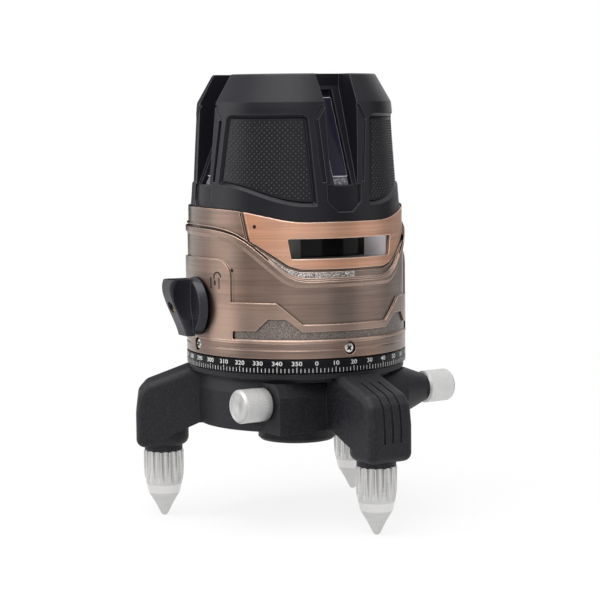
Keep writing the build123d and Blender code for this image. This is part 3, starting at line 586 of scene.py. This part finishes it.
def make_tick_tree():
    """Degree ticks round a ring, every fifth one longer."""
    tree, given = new_geometry_tree("degree_ticks", {"Count": "Int", "Radius": "Float", "Foot": "Float",
                                                     "Short": "Float", "Long": "Float", "Width": "Float",
                                                     "Thick": "Float", "Zero": "Float", "Finish": "Material"})
    points = made(tree, "GeometryNodeMeshCircle", {"Vertices": given["Count"], "Radius": given["Radius"]})
    fifth = reckon(tree, "MODULO", made(tree, "GeometryNodeInputIndex"), 5.0)
    height = rescale(tree, reckon(tree, "LESS_THAN", fifth, 0.5), target=(given["Short"], given["Long"]))
    size = made(tree, "ShaderNodeCombineXYZ", {"X": given["Thick"], "Y": given["Width"], "Z": height})
    bar = made(tree, "GeometryNodeMeshCube", {"Size": (1, 1, 1)})
    stood = made(tree, "GeometryNodeTransform", {"Geometry": bar, "Translation": (0, 0, 0.5)})
    ticks = made(tree, "GeometryNodeInstanceOnPoints", {"Points": points, "Instance": stood, "Scale": size,
                                                        "Rotation": even_turns(tree, given["Count"])})
    placed = made(tree, "GeometryNodeTransform", {"Geometry": ticks, "Translation": on_z(tree, given["Foot"]),
                                                  "Rotation": on_z(tree, given["Zero"])})
    finish_tree(tree, placed, given["Finish"])
    return tree


def wrap(mesh, radius, psi, height):
    """Bends a flat drawing round the axis: x runs round the ring from the angle psi, y up, z outwards."""
    for vertex in mesh.vertices:
        x, y, z = vertex.co
        angle = math.radians(psi) + x / (radius * MM)
        reach = radius * MM + z
        vertex.co = (reach * math.sin(angle), -reach * math.cos(angle), height * MM + y)


def lettering(text):
    """Flat solid figures, centred, widened and fattened, made a mesh."""
    curve = bpy.data.curves.new("figures", "FONT")
    curve.body = text
    curve.size = FIGURE_HIGH * MM
    curve.extrude = FIGURE_THICK * MM
    curve.offset = FIGURE_BOLD * MM
    curve.align_x = "CENTER"
    curve.align_y = "BOTTOM_BASELINE"
    curve.resolution_u = 3
    mesh = frozen(link_object("figures", curve))
    work = bmesh.new()
    work.from_mesh(mesh)
    bmesh.ops.remove_doubles(work, verts=work.verts, dist=1e-7)
    bmesh.ops.recalc_face_normals(work, faces=work.faces)
    bmesh.ops.scale(work, verts=work.verts, vec=(FIGURE_STRETCH, 1, 1))
    work.to_mesh(mesh)
    work.free()
    return mesh


def in_one_finish(name, meshes, material):
    """One mesh from several bare ones, all in one finish."""
    mesh = joined(name, *meshes)
    mesh.materials.clear()
    mesh.materials.append(material)
    for polygon in mesh.polygons:
        polygon.material_index = 0
    return mesh


anodised = turned_metal("black_anodising", shade(24, 24, 26), shade(36, 36, 39), roughness=(0.36, 0.48), edge=0.5)
dress(anodised, "dial_ring")
white_fill = moulded("scale_white", shade(236, 236, 234), shade(244, 244, 242), grain=2600, depth=0.01, edge=0.0)
ticks = grown("scale_ticks", make_tick_tree(), {
    "Count": TICKS, "Radius": TICK_AT * MM, "Foot": TICK_FOOT * MM, "Short": TICK_SHORT * MM, "Long": TICK_LONG * MM,
    "Width": TICK_WIDE * MM, "Thick": TICK_THICK * MM, "Zero": math.radians(ZERO_AT - 90), "Finish": white_fill})
figures = []
for degrees in range(0, 360, 10):
    figures.append(lettering(str(degrees)))
    wrap(figures[-1], FIGURE_AT, ZERO_AT + degrees, FIGURE_FOOT)
place_piece("scale_ticks", ticks, "dial")
place_piece("scale_figures", in_one_finish("scale_figures", figures, white_fill), "dial")

# Turntable and spindle: an aluminium casting machined on its bearing faces, held down by a steel nut. The
# chassis on its four posts carries the pendulum in a two-axis gimbal.
casting = moulded("cast_aluminium", shade(150, 150, 152), shade(196, 196, 196), grain=700, depth=0.08)
casting.node_tree.nodes["Principled BSDF"].inputs["Metallic"].default_value = 0.9
dress(casting, "turntable", "gimbal_frame", "gimbal_ring")
dress(steel, "spindle_nut", "gimbal_pins", "pendulum_pins", "damper_magnets", "trim_screws")
dress(turned_metal("damper_copper", shade(160, 96, 66), shade(206, 138, 104)), "damper_disc")
dress(brass, "pendulum_frame", "horizontal_laser", "plumb_laser",
      *[f"vertical_laser_{side}" for side in ("front", "right", "rear", "left")])

# Electronics: two boards of glass fibre with a glossy green solder mask, and a flat battery pack in a blue shrink
# sleeve, which lies behind its door.
board = moulded("board_green", shade(28, 86, 58), shade(150, 140, 90), grain=500, depth=0.05, roughness=(0.3, 0.42))
dress(board, "keypad_board", "main_board")
dress(moulded("battery_sleeve", shade(44, 62, 118), shade(90, 108, 160), grain=260, depth=0.03,
              roughness=(0.28, 0.4)), "battery_pack")

# Housing: a die-cast shell plated in antique copper, brushed round the body, lighter on the raised panel, the more
# so towards its foot, and lacquered. The recess over the lower rim and the ledge under the window shield keep a
# sandy cast texture; the near-white specks on the ledge are painted glints.
BRUSHED, SMEARED = (30, 30, 5200), (14, 14, 950)
RECESS = {"R": (49.2, 49.38), "Z": (50.4, 60.4)}
LEDGE = {"R": (48.3, 48.72), "X": (-37.5, 3.5), "Y": (-60, -20)}
RAISED, RELIEF_Z, RELIEF_SHARE = {"R": (49.9, 50.4), "Z": (49.5, 100)}, (80, 56), (0.05, 0.26)
FLUSH_SHARE, AGED_SPAN, AGED_SHARE, WEAR_AND_HIGHLIGHT_SHARE = 0.45, (0.36, 0.72), (0.14, 0.5), 0.8
SAND_GRAIN, SAND_HIGH, SAND_DULL = 2400, 6.0, 0.14
CORNER_REACH, CORNER_SPAN, CORNER_PATINA_AND_SHADE = 2.6, (0.92, 0.38), shade(46, 35, 30)
BROWN = (shade(114, 99, 90), shade(144, 126, 117), shade(142, 107, 90), shade(72, 60, 53), shade(222, 192, 175))


def antique_copper(name, dark, light, flush, aged, edge_tone, edge_mm=0.5, metal=0.9, rough=(0.3, 0.42), patina_and_shade=0.85,
                   sanded=True):
    """Brushed plating, darker in the corners with patina and painted shade, lighter at the edges with wear and painted
    highlight; sanded adds the housing's sandy bands, the ledge's painted glints and the lighter raised panel.
    """
    material, tree, shader, place = new_material(name)
    tool = effect(tree, LINES, Vector=place, Stretch=BRUSHED)
    rim = effect(tree, EDGE, Radius=edge_mm * MM)
    tone = blend_colours(tree, tool["Line"], dark, light)
    tone = blend_colours(tree, reckon(tree, "MULTIPLY", tool["Cloud"], FLUSH_SHARE), tone, flush)
    smear = noise(tree, reckon_vector(tree, "MULTIPLY", place, SMEARED), 1, 5, 0.65)
    tone = blend_colours(tree, rescale(tree, smear, AGED_SPAN, AGED_SHARE, soft=True), tone, aged)
    height, rough = tool["Line"], rescale(tree, tool["Cloud"], target=rough)
    if sanded:
        skin = effect(tree, GRAIN, Vector=place, Scale=SAND_GRAIN)
        across = add(tree, "ShaderNodeSeparateXYZ", {0: place}).outputs
        plan = made(tree, "ShaderNodeCombineXYZ", {"X": across["X"], "Y": across["Y"]})
        lengths = {"R": reckon_vector(tree, "LENGTH", plan), **{letter: across[letter] for letter in "XYZ"}}

        def zone(spans):
            """1 where every length named lies in its span."""
            masks = [between(tree, lengths[letter], *span) for letter, span in spans.items()]
            whole = masks[0]
            for mask in masks[1:]:
                whole = reckon(tree, "MULTIPLY", whole, mask)
            return whole

        recess, ledge = zone(RECESS), zone(LEDGE)
        # The raised panel is made lighter, the more so towards its foot.
        fall = rescale(tree, across["Z"], [z * MM for z in RELIEF_Z], RELIEF_SHARE, soft=True)
        tone = blend_colours(tree, reckon(tree, "MULTIPLY", zone(RAISED), fall), tone, shade(198, 168, 152))
        # Near-white specks on the ledge are painted glints on the sandy cast texture; the recess keeps its own grey.
        for mask, low, high in ((recess, shade(92, 84, 80), shade(150, 138, 131)),
                                (ledge, shade(96, 84, 78), shade(250, 246, 243))):
            tone = blend_colours(tree, mask, tone, blend_colours(tree, skin["Speckle"], low, high))
        sandy = reckon(tree, "MAXIMUM", recess, ledge)
        height = blend_values(tree, sandy, height, reckon(tree, "MULTIPLY", skin["Height"], SAND_HIGH))
        rough = reckon(tree, "MULTIPLY_ADD", sandy, SAND_DULL, rough)
    # Darker in the corners and between parts: partly patina in the hollows, partly painted shade.
    open_air = add(tree, "ShaderNodeAmbientOcclusion", {"Distance": CORNER_REACH * MM}, samples=8).outputs["AO"]
    corner = rescale(tree, open_air, CORNER_SPAN, (0.0, patina_and_shade), soft=True)
    tone = blend_colours(tree, corner, tone, CORNER_PATINA_AND_SHADE)
    # Lighter edges: partly rubbed plating, partly painted highlight.
    tone = blend_colours(tree, reckon(tree, "MULTIPLY", rim["Edge"], WEAR_AND_HIGHLIGHT_SHARE), tone, edge_tone)
    surface(tree, shader, tone, rough, height, rim["Normal"], strength=0.45, depth=0.014)
    for socket, value in (("Metallic", metal), ("Coat Weight", 0.3), ("Coat Roughness", 0.22), ("Anisotropic", 0.7)):
        shader.inputs[socket].default_value = value
    tree.links.new(on_z(tree, 1.0), shader.inputs["Tangent"])
    return material


dress(antique_copper("antique_copper", *BROWN), "main_housing")
dress(antique_copper("door_copper", *BROWN, sanded=False), "battery_door")

# Signs cut into the plating and filled dark: an open padlock over the lock knob, for the pendulum's free
# position, and two small witness dots at the corners of shield and pad.
SUNK, SIGN_THICK = 0.005, 0.03
PADLOCK_AT = (50.1 - SUNK, -73.2, 75.0)
DOTS_AT = ((48.7 - SUNK, -49.3, 100.1), (49.1 - SUNK, -62.6, 80.8))
DOT_PROFILE = [(0, 0.04), (0.75, 0.04), (0.85, 0), (0, 0)]
ARCH = [(1.5 + 2.1 * math.cos(a), 2.6 + 2.1 * math.sin(a)) for a in [math.radians(d) for d in range(205, -25, -23)]]
PADLOCK = (([(-2.7, -2.45), (-2.7, 2.35)], 0.75), ([(-2.7, 2.1), (2.6, 2.1)], 0.45),
           ([(2.6, 2.3), (2.6, -2.45)], 0.6), ([(-2.7, -2.3), (2.6, -2.3)], 0.4), ([(-0.55, 2.2), ARCH[0]], 0.7),
           (ARCH, 0.7), ([(0, 1.0), (0, -1.0)], 1.0))


def bridge(work, rows):
    """Closed solid from rows of corners that run round it."""
    count = len(rows[0])
    for first, second in zip(rows, rows[1:]):
        for k in range(count):
            work.faces.new((first[k], first[(k + 1) % count], second[(k + 1) % count], second[k]))
    work.faces.new(rows[0])
    work.faces.new(rows[-1])
    bmesh.ops.recalc_face_normals(work, faces=work.faces)


def stroke(points, width):
    """Flat solid line of even width through points, in millimetres."""
    work = bmesh.new()
    rows = []
    for i, point in enumerate(points):
        before, after = Vector(points[max(i - 1, 0)]), Vector(points[min(i + 1, len(points) - 1)])
        along = (after - before).normalized()
        aside = Vector((-along.y, along.x)) * width / 2
        corners = [(Vector(point) + s * aside, h) for s, h in ((1, 0), (-1, 0), (-1, SIGN_THICK), (1, SIGN_THICK))]
        rows.append([work.verts.new((corner.x * MM, corner.y * MM, h * MM)) for corner, h in corners])
    bridge(work, rows)
    return mesh_from(work, "stroke")


sign_fill = moulded("sign_fill", shade(26, 20, 18), shade(60, 48, 42), grain=2600, depth=0.01, edge=0.0, gloss=0.2)
signs = [joined("padlock_sign", *[stroke(points, width) for points, width in PADLOCK])]
wrap(signs[0], *PADLOCK_AT)
for spot in DOTS_AT:
    signs.append(lathe("dot", DOT_PROFILE, 20))
    wrap(signs[-1], *spot)
place_piece("housing_signs", in_one_finish("housing_signs", signs, sign_fill), "head")

# Housing screws: four steel pan heads with a cross recess, each in a round pocket of the rim, driven into the
# turntable's wall.
SCREW_Z, SCREW_FACE, SCREW_COUNT, SCREW_TURN = 46.7, 49.4, 4, math.radians(38)
SCREW_R, SCREW_HEAD, SCREW_SHANK, SHANK_R = 2.35, 1.4, 4.4, 1.2
CROSS_LOW, CROSS_TOP, CROSS_HALF = (0.45, -0.75), (0.65, 0.3), 0.17


def cross_head(name, radius, height, shank, material, recess):
    """Pan-head screw along +Z, its head's face at the origin, with a tapered cross cut into it."""
    body = lathe(name, [(0, 0), (radius * 0.55, -0.02), (radius * 0.85, -0.15), (radius, -0.5), (radius, -height),
                        (SHANK_R, -height), (SHANK_R, -height - shank), (0, -height - shank)], 44)
    body.materials.append(material)
    head = link_object(name, body)
    work = bmesh.new()
    half = CROSS_HALF * radius
    rows = []
    for share, z in (CROSS_LOW, CROSS_TOP):
        arm = share * radius
        corners = [Matrix.Rotation(k * math.pi / 2, 3, "Z") @ Vector((x, y, z))
                   for k in range(4) for x, y in ((arm, -half), (arm, half), (half, half))]
        rows.append([work.verts.new(corner * MM) for corner in corners])
    bridge(work, rows)
    cross = mesh_from(work, "cross")
    cross.materials.append(recess)
    cutter = link_object("cross", cross)
    cut = head.modifiers.new("recess", "BOOLEAN")
    cut.object = cutter
    cut.operation = "DIFFERENCE"
    cut.solver = "EXACT"
    cut.material_mode = "TRANSFER"
    mesh = frozen(head)
    bpy.data.objects.remove(cutter)
    crease(mesh, 30)
    return mesh


def make_ring_tree():
    """One shape repeated evenly round the axis, turned with each place; its recess keeps its own material, a painted
    shade.
    """
    tree, given = new_geometry_tree("round_the_rim", {"Shape": "Object", "Count": "Int", "Finish": "Material",
                                                      "Recess": "Material"})
    shape = add(tree, "GeometryNodeObjectInfo", {"Object": given["Shape"]}).outputs["Geometry"]
    points = made(tree, "GeometryNodeMeshLine", {"Count": given["Count"], "Offset": (0, 0, 0)})
    copies = made(tree, "GeometryNodeInstanceOnPoints", {"Points": points, "Instance": shape,
                                                         "Rotation": even_turns(tree, given["Count"])})
    hollow = made(tree, "GeometryNodeMaterialSelection", {"Material": given["Recess"]})
    finish_tree(tree, copies, given["Finish"], made(tree, "FunctionNodeBooleanMath", {0: hollow}, operation="NOT"))
    return tree


# The cross recesses are painted dark as shade.
recess_shadow = turned_metal("recess_dark", shade(26, 25, 25), shade(46, 45, 44), roughness=(0.45, 0.6), edge=0.0)
screw_zinc = turned_metal("screw_zinc", shade(200, 197, 192), shade(234, 232, 228), roughness=(0.2, 0.32))
one_screw = cross_head("rim_screw", SCREW_R, SCREW_HEAD, SCREW_SHANK, screw_zinc, recess_shadow)
front = Matrix.Translation((0, -SCREW_FACE * MM, SCREW_Z * MM)) @ Matrix.Rotation(math.pi / 2, 4, "X")
one_screw.transform(front @ Matrix.Rotation(SCREW_TURN, 4, "Z"))
pattern = link_object("screw_pattern", one_screw)
screws = grown("rim_screws", make_ring_tree(), {"Shape": pattern, "Count": SCREW_COUNT, "Finish": screw_zinc,
                                                "Recess": recess_shadow})
bpy.data.objects.remove(pattern)
place_piece("rim_screws", screws, "head", ["housing_screws"])

# Lock: a black moulded wing knob on a steel shaft through a brass bush; a brass screw in a deep recess of the
# wing holds it.
LOCK_Z, LOCK_SCREW_X = 63.8, -61.4
LOCK_SCREW_R, LOCK_SCREW_HEAD, LOCK_SCREW_SHANK = 2.3, 1.2, 5.0
dress(moulded("knob_plastic", shade(37, 37, 43), shade(96, 96, 105), grain=2200, depth=0.02, roughness=(0.26, 0.38),
              edge=0.4, edge_mm=0.7, gloss=0.3), "lock_knob")
dress(brass, "lock_bush")
dress(steel, "lock_shaft")
lock_screw = cross_head("lock_screw", LOCK_SCREW_R, LOCK_SCREW_HEAD, LOCK_SCREW_SHANK, brass, recess_shadow)
lock_screw.transform(Matrix.Translation((LOCK_SCREW_X * MM, 0, LOCK_Z * MM)) @ Matrix.Rotation(-math.pi / 2, 4, "Y"))
place_piece("lock_screw", lock_screw, "lock", ["lock_knob_screw"])

# Window: a copper shield, brighter than the housing, frames a recess of grey plastic that closes on a pane of dark
# glass, through which the level line leaves. The grey carries painted shade on the left and a painted highlight on the
# right.
dress(antique_copper("shield_copper", shade(184, 138, 113), shade(212, 166, 140), shade(204, 138, 100),
                     shade(132, 94, 74), shade(252, 226, 210), edge_mm=0.8, metal=0.6, rough=(0.36, 0.48),
                     patina_and_shade=0.3, sanded=False), "window_bezel")
liner_plastic = moulded("liner_plastic", shade(120, 118, 120), shade(206, 204, 203), grain=1600, depth=0.03,
                        roughness=(0.34, 0.46), edge=0.2)
tree = liner_plastic.node_tree
liner_colour = tree.nodes["Principled BSDF"].inputs["Base Color"]
sideways = add(tree, "ShaderNodeSeparateXYZ", {0: place_on(tree)}).outputs["X"]
tone = liner_colour.links[0].from_socket
# Painted shade darkens the liner on the left, and a painted highlight lightens it on the right.
for start, end, colour in ((12, -10, shade(92, 92, 88)), (12, 23, shade(222, 220, 224))):
    tone = blend_colours(tree, rescale(tree, sideways, (start * MM, end * MM)), tone, colour)
tree.links.new(tone, liner_colour)
dress(liner_plastic, "window_liner")


def dark_glass(name, colour):
    """Smoked glass, nearly black, with faint wipe marks."""
    material, tree, shader, place = new_material(name)
    wiped = effect(tree, GRAIN, Vector=place, Scale=300)["Patches"]
    tree.links.new(blend_colours(tree, wiped, colour, scaled(colour, 1.5)), shader.inputs["Base Color"])
    tree.links.new(rescale(tree, wiped, target=(0.06, 0.14)), shader.inputs["Roughness"])
    shader.inputs["Specular IOR Level"].default_value = 0.12
    return material


dress(dark_glass("window_glass", shade(9, 9, 10)), "front_window")

# Cap: one black moulding with a grained finish, four slots for the upright lines and ribs beside them. A soft grip
# pad with a raised dot pattern is set in each panel between the slots.
CONE_LOW, CONE_HIGH, PAD_DEPTH = (46.9, 114.0), (44.2, 151.5), 1.17
DOT_ROW, DOT_GAP, DOT_R, DOT_HIGH, DOT_TAPER = 1.135, 2.27, 0.62, 0.36, 0.4
DOT_ROWS, DOT_SIDE, DOT_FOOT = 32, 10, 111.0
FIELD_TOP = [(15.9, 145.9), (-15.9, 145.9)]
FIELDS = {"front": [(-19.6, 120.0), (-8, 117.6), (1.5, 114.8), (15.2, 111.6), (19.9, 111.3)] + FIELD_TOP,
          "rear": [(-19.6, 120.2), (19.6, 120.2)] + FIELD_TOP}


def make_dot_tree():
    """Small four-sided pyramids on given points, standing along each point's outward direction."""
    tree, given = new_geometry_tree("grip_dots", {"Points": "Geometry", "Width": "Float", "Height": "Float",
                                                  "Finish": "Material"})
    outward = made(tree, "GeometryNodeInputNamedAttribute", {"Name": "outward"}, data_type="FLOAT_VECTOR")
    stand = made(tree, "FunctionNodeAlignRotationToVector", {"Vector": outward}, axis="Z")
    dot = made(tree, "GeometryNodeMeshCone",
               {"Vertices": 4, "Radius Top": reckon(tree, "MULTIPLY", given["Width"], DOT_TAPER),
                "Radius Bottom": given["Width"], "Depth": given["Height"]}, fill_type="NGON")
    dots = made(tree, "GeometryNodeInstanceOnPoints", {"Points": given["Points"], "Instance": dot, "Rotation": stand})
    finish_tree(tree, dots, given["Finish"])
    return tree


def holds(shape, x, z):
    """Whether a point lies inside a closed outline."""
    inside = False
    for (x0, z0), (x1, z1) in zip(shape, shape[1:] + shape[:1]):
        if (z0 > z) != (z1 > z) and x < x0 + (z - z0) / (z1 - z0) * (x1 - x0):
            inside = not inside
    return inside


black_plastic = moulded("black_plastic", shade(23, 22, 28), shade(112, 111, 122), grain=1900, depth=0.05,
                        roughness=(0.34, 0.48), edge=0.5, edge_mm=0.5, gloss=0.2)
dress(black_plastic, "top_cap")
pad_rubber = moulded("pad_rubber", shade(23, 22, 27), shade(70, 70, 75), grain=2000, depth=0.03,
                     roughness=(0.36, 0.5), edge=0.3, gloss=0.2)
# The dots are lighter than the pad: a painted highlight on their tops.
dot_rubber = moulded("dot_rubber", shade(46, 46, 51), shade(96, 96, 102), grain=2000, depth=0.01, edge=0.0)
DOTS = make_dot_tree()
slope = (CONE_LOW[0] - CONE_HIGH[0]) / (CONE_HIGH[1] - CONE_LOW[1])
lattice = [((column + 0.5 * (row % 2)) * DOT_GAP, DOT_FOOT + row * DOT_ROW)
           for row in range(DOT_ROWS) for column in range(-DOT_SIDE, DOT_SIDE + 1)]
for end, side, turn in (("front", "left", -45), ("front", "right", 45), ("rear", "left", -135), ("rear", "right", 135)):
    name = f"{end}_{side}"
    dress(pad_rubber, f"grip_pad_{name}")
    flip = -1 if side == "right" else 1
    places, outward = [], []
    for x, z in lattice:
        if not holds(FIELDS[end], x, z):
            continue
        radius = CONE_LOW[0] - slope * (z - CONE_LOW[1]) - PAD_DEPTH
        angle = math.radians(turn) + flip * math.asin(x / radius)
        places.append(Vector((radius * math.sin(angle), -radius * math.cos(angle), z)) * MM)
        outward.extend(Vector((math.sin(angle), -math.cos(angle), slope)).normalized())
    cloud = bpy.data.meshes.new("dot_places")
    cloud.from_pydata(places, [], [])
    cloud.attributes.new("outward", "FLOAT_VECTOR", "POINT").data.foreach_set("vector", outward)
    dots = grown(f"grip_dots_{name}", DOTS, {"Width": DOT_R * MM, "Height": DOT_HIGH * MM, "Finish": dot_rubber}, cloud)
    place_piece(f"grip_dots_{name}", dots, "head")

# Slot panes: strips of smoked glass with ground edges, cemented in the sloping floor of each slot with a dark gap
# all round. The lower end stands against a rest of grey foam.
PANE_WIDE, PANE_LONG, PANE_THICK, PANE_BEVEL = 7.8, 37.6, 1.6, 0.3
PANE_DEEP, PANE_AT = 2.0, -1.6
REST_LONG, REST_THICK, REST_BEVEL = 3.4, 0.9, 0.2
REST_GAP, REST_AT = 0.3, -0.35
SLOT_MIDDLE, SLOT_LEAN = Vector((0, -35.25, 140.5)), Vector((0, -41.0, 17.5))


def bevelled_box(work, size, middle, bevel):
    """Box with its edges broken, added to a mesh in the making."""
    corners = bmesh.ops.create_cube(work, size=1)["verts"]
    bmesh.ops.scale(work, verts=corners, vec=size)
    bmesh.ops.translate(work, verts=corners, vec=middle)
    edges = [edge for edge in work.edges if edge.verts[0] in corners]
    bmesh.ops.bevel(work, geom=edges, offset=bevel, segments=1, affect="EDGES")


# The violet tint of the pane glass is a painted reflection.
pane_glass = dark_glass("pane_glass", shade(30, 28, 39))
ground_edge = moulded("ground_edge", shade(236, 237, 240), shade(246, 247, 249), grain=2600, depth=0.02, edge=0.0)
rest_foam = moulded("rest_foam", shade(78, 77, 84), shade(130, 129, 136), grain=900, depth=0.3, edge=0.3,
                    flecks=shade(150, 149, 156))
across, lean = Vector((1, 0, 0)), SLOT_LEAN.normalized()
along = lean.cross(across)
seat = Matrix((across, along, lean)).transposed().to_4x4()
seat.translation = SLOT_MIDDLE - lean * PANE_DEEP + along * PANE_AT
for name, turn in (("front", 0), ("right", 90), ("rear", 180), ("left", -90)):
    work = bmesh.new()
    bevelled_box(work, (PANE_WIDE, PANE_LONG, PANE_THICK), (0, 0, 0), PANE_BEVEL)
    for face in work.faces:
        face.material_index = 0 if abs(face.normal.z) > 0.9 else 1
    bevelled_box(work, (PANE_WIDE, REST_LONG, REST_THICK), (0, -(PANE_LONG + REST_LONG) / 2 - REST_GAP, REST_AT),
                 REST_BEVEL)
    for face in work.faces:
        if face.calc_center_median().y < -(PANE_LONG + REST_GAP) / 2:
            face.material_index = 2
    pane = mesh_from(work, f"slot_pane_{name}")
    for finish in (pane_glass, ground_edge, rest_foam):
        pane.materials.append(finish)
    pane.transform(Matrix.Rotation(math.radians(turn), 4, "Z") @ Matrix.Scale(MM, 4) @ seat)
    place_piece(f"slot_pane_{name}", pane, "head", [f"line_window_{name}"])

# Keypad on the top face: a printed film glued in a seat of the cap, three rubber keys that stand through it, and a
# round glass vial of green spirit pressed in beside them. A ring on the vial frames its bubble.
VIAL_AT, MARK_R, MARK_HALF, BUBBLE_R, RIM_HALF = Vector((0, 9, 0)) * MM, 3.0, 0.16, 2.1, 0.14
dress(moulded("panel_film", shade(34, 34, 38), shade(60, 60, 66), grain=1100, depth=0.02, roughness=(0.26, 0.36)),
      "keypad_panel")
dress(moulded("key_rubber", shade(58, 58, 62), shade(92, 92, 98), grain=2000, depth=0.03, edge=0.5),
      "button_left", "button_middle", "button_right")
vial_glass, tree, shader, place = new_material("vial_spirit")
swirl = noise(tree, place, 260)
plan = reckon_vector(tree, "MULTIPLY", reckon_vector(tree, "SUBTRACT", place, VIAL_AT), (1, 1, 0))
radius = reckon_vector(tree, "LENGTH", plan)
tone = blend_colours(tree, swirl, shade(150, 190, 60), shade(186, 216, 84))
for mask, colour in ((between(tree, radius, MARK_R - MARK_HALF, MARK_R + MARK_HALF), shade(24, 40, 20)),
                     (reckon(tree, "LESS_THAN", radius, BUBBLE_R * MM), shade(206, 230, 120)),
                     (between(tree, radius, BUBBLE_R - RIM_HALF, BUBBLE_R + RIM_HALF), shade(96, 130, 40))):
    tone = blend_colours(tree, mask, tone, colour)
tree.links.new(tone, shader.inputs["Base Color"])
tree.links.new(rescale(tree, swirl, target=(0.04, 0.1)), shader.inputs["Roughness"])
shader.inputs["Coat Weight"].default_value = 0.6
dress(vial_glass, "bubble_vial")
